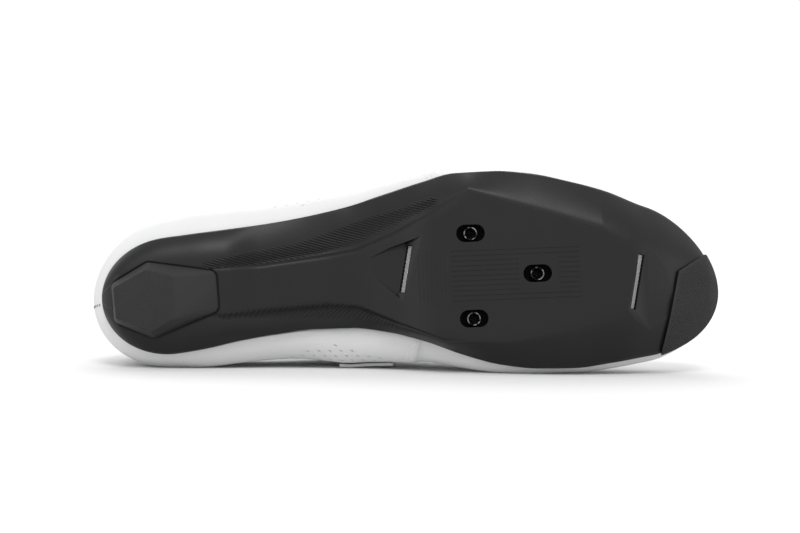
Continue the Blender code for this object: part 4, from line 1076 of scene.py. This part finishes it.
def makeInsole():
    at = stations(insole["step"])
    inset = shoe["featherInset"] + shoe["wall"] + shoe["gap"]
    share = np.linspace(0, 1, 16)[None, :]
    x, y = [a[:, None] + (b - a)[:, None] * share
            for a, b in zip(edgePoint(at, -1, -inset), edgePoint(at, 1, -inset))]
    low = topHeight(x / shoe["length"]) + shoe["gap"]
    over, under = np.stack([x, y, low + insole["thickness"]], -1), np.stack([x, y, low], -1)
    ring = np.concatenate([over, under[:, ::-1]], axis=1)
    item = meshObject("insoleSkin", ring.reshape(-1, 3), ringFaces(len(at), ring.shape[1]), merge=1e-5)
    bevel(item, insole["bevel"], 2, 50)
    return applied(item, sharp=50)


def surfaceAt(at, side, distance, out):
    # A point on the upper, by its distance from the sole, or from the cut edge if negative
    place = np.array([at])
    q = np.linspace(0, float(cutShare(place, side)[0]), 60)
    points = shellPoint(place[:, None], side, q[None, :])[0]
    girth = np.concatenate([[0], np.cumsum(np.linalg.norm(np.diff(points, axis=0), axis=1))])
    share = np.interp(distance if distance >= 0 else girth[-1] + distance, girth, q)
    return shellPoint(place, side, np.array([share]), quarterRise(place, side) + out)[0]


# Sewing thread, drawn a little thick so that it shows: rows of beads that follow the seams
stitch = {"pitch": 2.7, "length": 1.9, "thread": 0.42, "lift": 0.05}
backSeam = {"pitch": 1.9, "length": 1.9, "thread": 0.28, "lift": 0.05, "turn": 42.0,
            "at": 0.0003, "low": 3.0, "high": 66.0}
# Where the upper is sewn, in millimetres from the edge that a seam follows
seamPlaces = {
    "quarter": (1.3, 3.6), "quarterRun": (3, 70), "throat": 3.0, "throatRun": (0.345, 0.665),
    "collar": (1.3, 3.5), "collarRun": (0.01, 0.30), "strap": 2.2, "strapShare": 0.03, "strapSunk": 0.1,
}


def stitchTree():
    tree, given, curve = pathTree("stitchRow", {
        "Pitch": "Float", "Length": "Float", "Thickness": "Float", "Turn": "Float", "Up": "Vector"})
    spaced = add(tree, "GeometryNodeResampleCurve", {"mode": "LENGTH"},
                 {"Curve": curve, "Length": given["Pitch"]})
    tangent = add(tree, "GeometryNodeInputTangent")
    along = add(tree, "FunctionNodeAlignRotationToVector", {"axis": "X"}, {"Vector": tangent})
    facing = add(tree, "FunctionNodeAlignRotationToVector", {"axis": "Z", "pivot_axis": "X"},
                 {"Rotation": along, "Vector": given["Up"]})
    bead = add(tree, "GeometryNodeMeshIcoSphere", {}, {"Radius": 0.5, "Subdivisions": 1})
    size = add(tree, "ShaderNodeCombineXYZ", {},
               {"X": given["Length"], "Y": given["Thickness"], "Z": given["Thickness"]})
    row = add(tree, "GeometryNodeInstanceOnPoints", {},
              {"Points": spaced, "Instance": bead, "Rotation": facing, "Scale": size})
    angle = add(tree, "ShaderNodeCombineXYZ", {}, {"Z": given["Turn"]})
    spun = add(tree, "GeometryNodeRotateInstances", {}, {"Instances": row, "Rotation": angle})
    return closeTree(tree, given, spun)


def follow(name, rows, tree, values):
    # What the tree makes along rows of points in upright millimetres
    points, edges = [], []
    for row in rows:
        edges += [(len(points) + k, len(points) + k + 1) for k in range(len(row) - 1)]
        points += [tuple(toWorld @ Vector(p)) for p in row]
    mesh = bpy.data.meshes.new(name)
    mesh.from_pydata(points, edges, [])
    item = linked(name, mesh)
    modifier = item.modifiers.new(name, "NODES")
    modifier.node_group = tree
    for socket in tree.interface.items_tree:
        if socket.in_out == "INPUT" and socket.name in values:
            modifier[socket.identifier] = values[socket.name]
    made = bpy.data.meshes.new_from_object(item.evaluated_get(bpy.context.evaluated_depsgraph_get()))
    item.modifiers.clear()
    item.data = made
    return item


def seamRows():
    rows, lift = [], stitch["lift"]
    for side in (-1, 1):
        for back in seamPlaces["quarter"]:
            at = quarterFront[side] - back / shoe["length"]
            rows.append([surfaceAt(at, side, d, lift) for d in np.linspace(*seamPlaces["quarterRun"], 30)])
        along = np.linspace(*seamPlaces["throatRun"], 40)
        rows.append([surfaceAt(at, side, -seamPlaces["throat"], lift) for at in along])
        along = np.linspace(*seamPlaces["collarRun"], 40)
        for below in seamPlaces["collar"]:
            rows.append([surfaceAt(at, side, -(seams["collar"] + below), lift) for at in along])
    return rows


def strapRows():
    rows = []
    lift = strapLayer["clearance"] + strapLayer["thickness"] + stitch["lift"] - seamPlaces["strapSunk"]
    for strap in straps:
        half = (strap["width"] / 2 - seamPlaces["strap"]) / shoe["length"]
        for side in (-1, 1):
            # Two edges of a strap, then its end
            run = np.linspace(strap["middle"] - half, strap["middle"] + half, 8)
            first = cutShare(run, side) * strap[sideNames[side]] / strapLayer["rows"]
            first = first + seamPlaces["strapShare"]
            rise = quarterRise(run, side) + lift
            for k in (0, -1):
                q = np.linspace(first[k], 1, 40)
                rows.append(list(shellPoint(run[k] + 0 * q, side, q, rise[k])))
            rows.append(list(shellPoint(run, side, first, rise)))
    return rows


print("stage: finishes")

# What each surface really is, with its colours and its grain in millimetres
finishes = {
    "nylon": {"dark": "#0f0f10", "light": "#141415", "patch": 14, "grain": 0.6, "depth": 0.045,
              "gloss": (0.36, 0.45)},
    "rubber": {"dark": "#1a1a1c", "light": "#212122", "patch": 9, "hatch": 1.0, "lean": (40.0, -50.0),
               "grain": 2.4, "depth": 0.02, "tread": 0.11, "bumper": 0.24},
    "steel": {"dark": "#030303", "bright": "#8b8e92", "wear": 0.55, "depth": 0.03},
    "mesh": {"dark": "#8f9092", "light": "#a9aaac", "twist": 3.0, "depth": 0.08},
    "microfibre": {"dark": "#c7c7c8", "light": "#cdcdce", "patch": 18, "grain": 0.5, "depth": 0.03},
    "lining": {"dark": "#a8aaad", "light": "#c4c6c8", "weave": 1.1, "depth": 0.10, "matt": (0.9, 0.5)},
    "knit": {"depth": 0.2, "fuzz": 2.0, "fuzzDepth": 0.06},
    "thread": {"ply": 0.25, "lean": 35.0, "depth": 0.2},
}
# shade is the grey of the holes, and also the grey of the painted shade in the collar seam's groove
perforations = {"along": 4.8, "up": 2.75, "length": 1.5, "width": 0.55, "lean": 28.0, "first": 7.9,
                "middle": {-1: 88.0, 1: 100.0}, "start": 4.0, "grow": 3.6, "widest": 23.0, "last": 36.0,
                "depth": 0.3, "shade": "#a9aaac"}
grid = {"pitch": 2.14, "reach": 10.7, "start": 151.2, "end": 206.6, "gap": (180.2, 197.5), "gapHalf": 7.4,
        "crossPitch": 1.72, "crossStart": 137.5, "crossCount": 7, "crossReach": 10.4, "wide": 0.34,
        "depth": 0.16, "crossDepth": 0.5, "height": 4.5}


def gridLines(tree, axes):
    # The cleat grid: lines along the plateau around the front slot, and lines across behind them
    across, cross = grid["reach"] + grid["wide"], grid["crossPitch"] * grid["crossCount"] / 2
    middle, half = (grid["start"] + grid["end"]) / 2, (grid["end"] - grid["start"]) / 2
    shifted = chain(tree, "ADD", axes[1], grid["reach"])
    along = chain(tree, "MULTIPLY", lines(tree, shifted, grid["pitch"], grid["wide"]),
                  span(tree, axes[1], 0.0, across), span(tree, axes[0], middle, half))
    gapMiddle, gapHalf = sum(grid["gap"]) / 2, (grid["gap"][1] - grid["gap"][0]) / 2
    gap = chain(tree, "MULTIPLY", span(tree, axes[0], gapMiddle, gapHalf),
                span(tree, axes[1], 0.0, grid["gapHalf"]))
    along = chain(tree, "MULTIPLY", along, chain(tree, "SUBTRACT", 1.0, gap))
    shifted = chain(tree, "SUBTRACT", axes[0], grid["crossStart"])
    over = chain(tree, "MULTIPLY", lines(tree, shifted, grid["crossPitch"], grid["wide"]),
                 span(tree, axes[0], grid["crossStart"] + cross, cross + grid["wide"]),
                 span(tree, axes[1], 0.0, grid["crossReach"]), grid["crossDepth"])
    level = span(tree, axes[2], 0.0, grid["height"])
    return chain(tree, "MULTIPLY", chain(tree, "MAXIMUM", along, over), level, -grid["depth"])


def mouldedNylon():
    # Glass-filled polyamide from a spark-eroded mould: satin black, its grain drawn coarse enough to show
    use = finishes["nylon"]
    made, tree, shader = newMaterial("mouldedNylon", {"Roughness": 0.46, "Specular IOR Level": 0.26})
    spot = standing(tree)
    axes = add(tree, "ShaderNodeSeparateXYZ", {}, {0: spot}).outputs
    grain = add(tree, "ShaderNodeTexNoise", {}, {"Vector": spot, "Scale": 1 / use["grain"], "Detail": 2.0})
    patches = add(tree, "ShaderNodeTexNoise", {}, {"Vector": spot, "Scale": 1 / use["patch"], "Detail": 3.0})
    tint(tree, shader, patches, use["dark"], use["light"])
    low, high = use["gloss"]
    gloss = add(tree, "ShaderNodeMapRange", {}, {"Value": patches, "To Min": low, "To Max": high})
    tree.links.new(gloss.outputs[0], shader.inputs["Roughness"])
    fine = chain(tree, "MULTIPLY", grain, use["depth"])
    relief(tree, shader, chain(tree, "ADD", fine, gridLines(tree, axes)))
    return made


def mouldedRubber(name, mask, depth):
    # Black walking rubber: soft sheen, with a diagonal cross-hatch drawn coarse enough to show
    use = finishes["rubber"]
    made, tree, shader = newMaterial(name, {"Roughness": 0.6, "Specular IOR Level": 0.3})
    spot = standing(tree)
    where = mask(tree, spot)
    patches = add(tree, "ShaderNodeTexNoise", {}, {"Vector": spot, "Scale": 1 / use["patch"], "Detail": 3.0})
    tint(tree, shader, patches, use["dark"], use["light"])
    waves = crossed(tree, spot, use["lean"], use["hatch"])
    grain = add(tree, "ShaderNodeTexNoise", {}, {"Vector": spot, "Scale": use["grain"], "Detail": 2.0})
    hatch = chain(tree, "MULTIPLY", chain(tree, "MINIMUM", *waves), where, depth / use["hatch"] * 4)
    relief(tree, shader, chain(tree, "ADD", hatch, chain(tree, "MULTIPLY", grain, use["depth"])))
    return made


def onTread(tree, spot):
    height = add(tree, "ShaderNodeSeparateXYZ", {}, {0: spot}).outputs[2]
    return span(tree, height, 0.0, 0.5)


def insideRim(tree, spot):
    rim = add(tree, "ShaderNodeAttribute", {"attribute_name": "rim"}).outputs["Fac"]
    return add(tree, "ShaderNodeMapRange", {}, {"Value": rim, "From Min": 0.9, "From Max": 1.3})


def blackOxideSteel():
    # Pressed steel plate with a black oxide, rubbed bright on the nuts' rims
    use = finishes["steel"]
    made, tree, shader = newMaterial("blackOxideSteel", {"Roughness": 0.5, "Specular IOR Level": 0.08})
    spot = standing(tree)
    height = add(tree, "ShaderNodeSeparateXYZ", {}, {0: spot}).outputs[2]
    wear = add(tree, "ShaderNodeTexNoise", {}, {"Vector": spot, "Scale": use["wear"], "Detail": 4.0})
    ring = span(tree, height, cleat["recess"], 0.13, 0.08)
    worn = add(tree, "ShaderNodeMapRange", {}, {"Value": wear, "From Min": 0.44, "From Max": 0.60})
    bright = chain(tree, "MULTIPLY", ring, worn)
    tint(tree, shader, bright, use["dark"], use["bright"])
    tree.links.new(bright.outputs[0], shader.inputs["Metallic"])
    relief(tree, shader, chain(tree, "MULTIPLY", wear, use["depth"]))
    return made


def ventFabric():
    # Grey polyester mesh: matt twisted yarn
    use = finishes["mesh"]
    made, tree, shader = newMaterial("ventFabric", {"Roughness": 0.85, "Sheen Weight": 0.2})
    spot = standing(tree)
    twist = add(tree, "ShaderNodeTexNoise", {}, {"Vector": spot, "Scale": use["twist"], "Detail": 2.0})
    tint(tree, shader, twist, use["dark"], use["light"])
    relief(tree, shader, chain(tree, "MULTIPLY", twist, use["depth"]))
    return made


def holes(tree, axes):
    # Slanted perforations in staggered rows on both quarters, spreading upwards
    use = perforations
    girth = add(tree, "ShaderNodeAttribute", {"attribute_name": "girth"}).outputs["Fac"]
    up = chain(tree, "DIVIDE", chain(tree, "SUBTRACT", girth, use["first"]), use["up"])
    row = add(tree, "ShaderNodeMath", {"operation": "ROUND"}, {0: up})
    lateral, medial = use["middle"][-1], use["middle"][1]
    middle = add(tree, "ShaderNodeMapRange", {},
                 {"Value": chain(tree, "GREATER_THAN", axes[1], 0.0), "To Min": lateral, "To Max": medial})
    off = chain(tree, "SUBTRACT", axes[0], middle)
    stagger = chain(tree, "MULTIPLY", chain(tree, "PINGPONG", row, 1.0), 0.5)
    along = chain(tree, "ADD", chain(tree, "DIVIDE", off, use["along"]), stagger)
    column = add(tree, "ShaderNodeMath", {"operation": "ROUND"}, {0: along})
    dx = chain(tree, "MULTIPLY", chain(tree, "SUBTRACT", along, column), use["along"])
    dy = chain(tree, "MULTIPLY", chain(tree, "SUBTRACT", up, row), use["up"])
    sine, cosine = math.sin(math.radians(use["lean"])), math.cos(math.radians(use["lean"]))
    long = chain(tree, "ADD", chain(tree, "MULTIPLY", dx, cosine), chain(tree, "MULTIPLY", dy, sine))
    wide = chain(tree, "SUBTRACT", chain(tree, "MULTIPLY", dy, cosine), chain(tree, "MULTIPLY", dx, sine))
    oval = [chain(tree, "POWER", chain(tree, "DIVIDE", run, use[name] / 2), 2.0)
            for run, name in ((long, "length"), (wide, "width"))]
    hole = add(tree, "ShaderNodeMapRange", {}, {"Value": chain(tree, "ADD", *oval), "From Min": 0.6,
                                                "From Max": 1.2, "To Min": 1.0, "To Max": 0.0})
    reach = chain(tree, "MULTIPLY", column, use["along"])
    reach = add(tree, "ShaderNodeMath", {"operation": "ABSOLUTE"}, {0: reach})
    allowed = chain(tree, "ADD", chain(tree, "MULTIPLY", row, use["up"] * use["grow"]), use["start"])
    allowed = chain(tree, "MINIMUM", allowed, use["widest"])
    return chain(tree, "MULTIPLY", hole, chain(tree, "LESS_THAN", reach, allowed),
                 chain(tree, "GREATER_THAN", row, -0.5), chain(tree, "LESS_THAN", girth, use["last"]))


def collarGroove(tree, rise, along):
    # 1 in the middle of the collar's seam
    off = chain(tree, "SUBTRACT", rise, seams["collar"])
    size = add(tree, "ShaderNodeMath", {"operation": "ABSOLUTE"}, {0: off})
    edge = {"Value": size, "From Min": 0.0, "From Max": seams["width"], "To Min": 1.0, "To Max": 0.0}
    line = add(tree, "ShaderNodeMapRange", {"interpolation_type": "SMOOTHSTEP"}, edge)
    return chain(tree, "MULTIPLY", line, chain(tree, "LESS_THAN", along, seams["end"]))


def coatedMicrofibre(name, sewn=True):
    # Polyurethane-coated microfibre: white, satin, with a fine pebbled grain and a grey knitted lining
    use, cloth = finishes["microfibre"], finishes["lining"]
    made, tree, shader = newMaterial(
        name, {"Roughness": 0.5, "Specular IOR Level": 0.4, "Sheen Weight": 0.05})
    spot = standing(tree)
    patches = add(tree, "ShaderNodeTexNoise", {}, {"Vector": spot, "Scale": 1 / use["patch"], "Detail": 3.0})
    shade = tint(tree, shader, patches, use["dark"], use["light"])
    pebbles = add(tree, "ShaderNodeTexVoronoi", {"feature": "SMOOTH_F1"},
                  {"Vector": spot, "Scale": 1 / use["grain"], "Smoothness": 0.6})
    rise = chain(tree, "MULTIPLY", pebbles, -use["depth"])
    if sewn:
        # The upper alone has a seam, perforations and a lining, told apart by its attributes
        axes = add(tree, "ShaderNodeSeparateXYZ", {}, {0: spot}).outputs
        edge, within = [add(tree, "ShaderNodeAttribute", {"attribute_name": mark}).outputs["Fac"]
                        for mark in ("rise", "inside")]
        groove, hole = collarGroove(tree, edge, axes[0]), holes(tree, axes)
        outside = add(tree, "ShaderNodeMapRange", {}, {"Value": chain(tree, "SUBTRACT", 1.0, within),
                                                       "From Min": 0.55, "From Max": 0.75})
        rise = chain(tree, "ADD", rise, chain(tree, "MULTIPLY", groove, -seams["depth"]),
                     chain(tree, "MULTIPLY", hole, -perforations["depth"]))
        knit = crossed(tree, spot, (0.0, 90.0), cloth["weave"])
        weave = chain(tree, "MULTIPLY", chain(tree, "ADD", *knit), cloth["depth"])
        rise = chain(tree, "ADD", chain(tree, "MULTIPLY", rise, outside),
                     chain(tree, "MULTIPLY", weave, chain(tree, "SUBTRACT", 1.0, outside)))
        marked = blend(tree, hole, shade, perforations["shade"])
        # The collar seam's groove is painted part way to the same grey: painted shade in the groove
        marked = blend(tree, chain(tree, "MULTIPLY", groove, seams["dark"]), marked, perforations["shade"])
        loops = chain(tree, "MULTIPLY", knit[0], 2 / cloth["weave"])
        tint(tree, shader, outside, blend(tree, loops, cloth["dark"], cloth["light"]), marked)
        low, high = cloth["matt"]
        matt = add(tree, "ShaderNodeMapRange", {}, {"Value": outside, "To Min": low, "To Max": high})
        tree.links.new(matt.outputs[0], shader.inputs["Roughness"])
    relief(tree, shader, rise)
    return made


def knittedTextile(name, dark, light, pitch):
    # Knitted polyester over foam: matt, with fine courses and wales
    use = finishes["knit"]
    made, tree, shader = newMaterial(name, {"Roughness": 0.92, "Sheen Weight": 0.15})
    spot = standing(tree)
    weave = chain(tree, "ADD", *crossed(tree, spot, (0.0, 90.0), pitch))
    tint(tree, shader, chain(tree, "DIVIDE", weave, pitch), dark, light)
    fuzz = add(tree, "ShaderNodeTexNoise", {}, {"Vector": spot, "Scale": use["fuzz"], "Detail": 3.0})
    relief(tree, shader, chain(tree, "ADD", chain(tree, "MULTIPLY", weave, use["depth"]),
                               chain(tree, "MULTIPLY", fuzz, use["fuzzDepth"])))
    return made


def sewingThread(name, code):
    # Bonded nylon thread: two-ply twist, slight gloss
    use = finishes["thread"]
    made, tree, shader = newMaterial(name, {"Roughness": 0.45, "Base Color": colour(code)})
    ply = chain(tree, "PINGPONG", turned(tree, standing(tree), use["lean"]), use["ply"])
    relief(tree, shader, chain(tree, "MULTIPLY", ply, use["depth"]))
    return made


nylon = mouldedNylon()
treadRubber = mouldedRubber("treadRubber", onTread, finishes["rubber"]["tread"])
bumperRubber = mouldedRubber("bumperRubber", insideRim, finishes["rubber"]["bumper"])
steel = blackOxideSteel()
ventYarn = ventFabric()
white = coatedMicrofibre("coatedMicrofibre")
strapWhite = coatedMicrofibre("strapMicrofibre", False)
tongueKnit = knittedTextile("tongueKnit", "#c9cacc", "#e0e1e2", 1.3)
insoleKnit = knittedTextile("insoleKnit", "#2b2c2e", "#3c3d40", 1.1)
whiteThread = sewingThread("whiteThread", "#dcdcdd")
greyThread = sewingThread("greyThread", "#5a5b5d")


def dress(item, material, body, node):
    item.data.materials.clear()
    item.data.materials.append(material)
    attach(item, body)
    if node:
        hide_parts(node)


print("stage: pieces")
dress(makeOutsole(), nylon, "shoe", "outsole")
dress(makeHeelPad(), treadRubber, "shoe", "heel_pad")
dress(makeToePad(), bumperRubber, "shoe", "toe_pad")
dress(makeCleatPlate(), steel, "cleat_plate", "cleat_plate")
for vent in vents:
    dress(makeVentMesh(vent), ventYarn, "shoe", vent["node"])
dress(makeUpper(), white, "shoe", "upper")
dress(makeTongue(), tongueKnit, "shoe", "tongue")
for strap in straps:
    dress(makeStrap(strap), strapWhite, "shoe", strap["node"])
dress(makeInsole(), insoleKnit, "shoe", "insole")

ribs = ribTree()
for name, band in ribBands.items():
    bars = follow(name, ribRows(band), ribs, {"Width": ribBar["width"] / 1000, "Finish": nylon})
    dress(bars, nylon, "shoe", None)

print("stage: stitching")
stitches = stitchTree()


def makeSeam(name, rows, seam, turn, up, thread):
    values = {"Pitch": seam["pitch"] / 1000, "Length": seam["length"] / 1000,
              "Thickness": seam["thread"] / 1000, "Turn": turn, "Up": tuple(up), "Finish": thread}
    dress(follow(name, rows, stitches, values), thread, "shoe", None)


makeSeam("upperStitches", seamRows(), stitch, 0.0, above, whiteThread)
makeSeam("strapStitches", strapRows(), stitch, 0.0, above, whiteThread)
backRow = [surfaceAt(backSeam["at"], 1, d, backSeam["lift"])
           for d in np.linspace(backSeam["low"], backSeam["high"], 40)]
for k, side in enumerate((-1, 1)):
    turn = side * math.radians(backSeam["turn"])
    makeSeam(f"backSeamStitches{k}", [backRow], backSeam, turn, -ahead, greyThread)

print("stage: studio")

# Camera: the view is tipped from the sole's normal towards the medial side
view = {"tip": 5.5, "roll": 2.3, "distance": 950.0, "right": 44.9, "up": 3.42, "lens": 100.0, "sensor": 36.0}


def makeCamera():
    roll, tip = math.radians(view["roll"]), math.radians(view["tip"])
    right = Vector((math.cos(roll), math.sin(roll), 0))
    climb = Vector((math.sin(roll), -math.cos(roll), 0))
    out = Vector((0, 0, -1))
    up = climb * math.cos(tip) + out * math.sin(tip)
    back = out * math.cos(tip) - climb * math.sin(tip)
    place = Vector((cleat["place"], 0, 0)) - right * view["right"] + up * view["up"] + back * view["distance"]
    camera = linked("camera", bpy.data.cameras.new("camera"))
    turn = Matrix((lay @ right, lay @ up, lay @ back)).transposed()
    camera.matrix_world = Matrix.Translation(toWorld @ place) @ turn.to_4x4()
    camera.data.lens = view["lens"]
    camera.data.sensor_width = view["sensor"]
    camera.data.clip_start = 0.01
    bpy.context.scene.camera = camera


# Wide soft lights far away: the direction that each shines from, its width in degrees and its strength
lights = {
    "key": {"from": (0.05, -0.64, 0.77), "width": 18, "power": 1.2},
    "back": {"from": (-0.1, 0.75, 0.65), "width": 40, "power": 0.75},
    "left": {"from": (-0.85, -0.52, 0.03), "width": 40, "power": 0.7},
    "right": {"from": (0.93, -0.36, 0.03), "width": 40, "power": 0.5},
}
studio = {"dark": "#dedede", "light": "#e0e0e0", "floor": 20, "air": 1.01}


def makeLights():
    for name, use in lights.items():
        data = bpy.data.lights.new(name, "SUN")
        data.angle, data.energy = math.radians(use["width"]), use["power"]
        linked(name, data).rotation_euler = Vector(use["from"]).to_track_quat("Z", "Y").to_euler()
    air = bpy.data.worlds.new("studio")
    air.use_nodes = True
    background = air.node_tree.nodes["Background"].inputs
    background["Color"].default_value = (1, 1, 1, 1)
    background["Strength"].default_value = studio["air"]
    bpy.context.scene.world = air


def makeFloor():
    # Plain white studio paper
    bm = bmesh.new()
    bmesh.ops.create_grid(bm, x_segments=2, y_segments=2, size=studio["floor"])
    mesh = bpy.data.meshes.new("floor")
    bm.to_mesh(mesh)
    bm.free()
    floor = linked("floor", mesh)
    paper, tree, shader = newMaterial("studioPaper", {"Roughness": 0.95, "Specular IOR Level": 0.1})
    fibres = add(tree, "ShaderNodeTexNoise", {}, {"Vector": standing(tree), "Scale": 0.5, "Detail": 2.0})
    tint(tree, shader, fibres, studio["dark"], studio["light"])
    floor.data.materials.append(paper)


makeFloor()
makeCamera()
makeLights()
bpy.context.scene.view_settings.view_transform = "Standard"

print("finished")
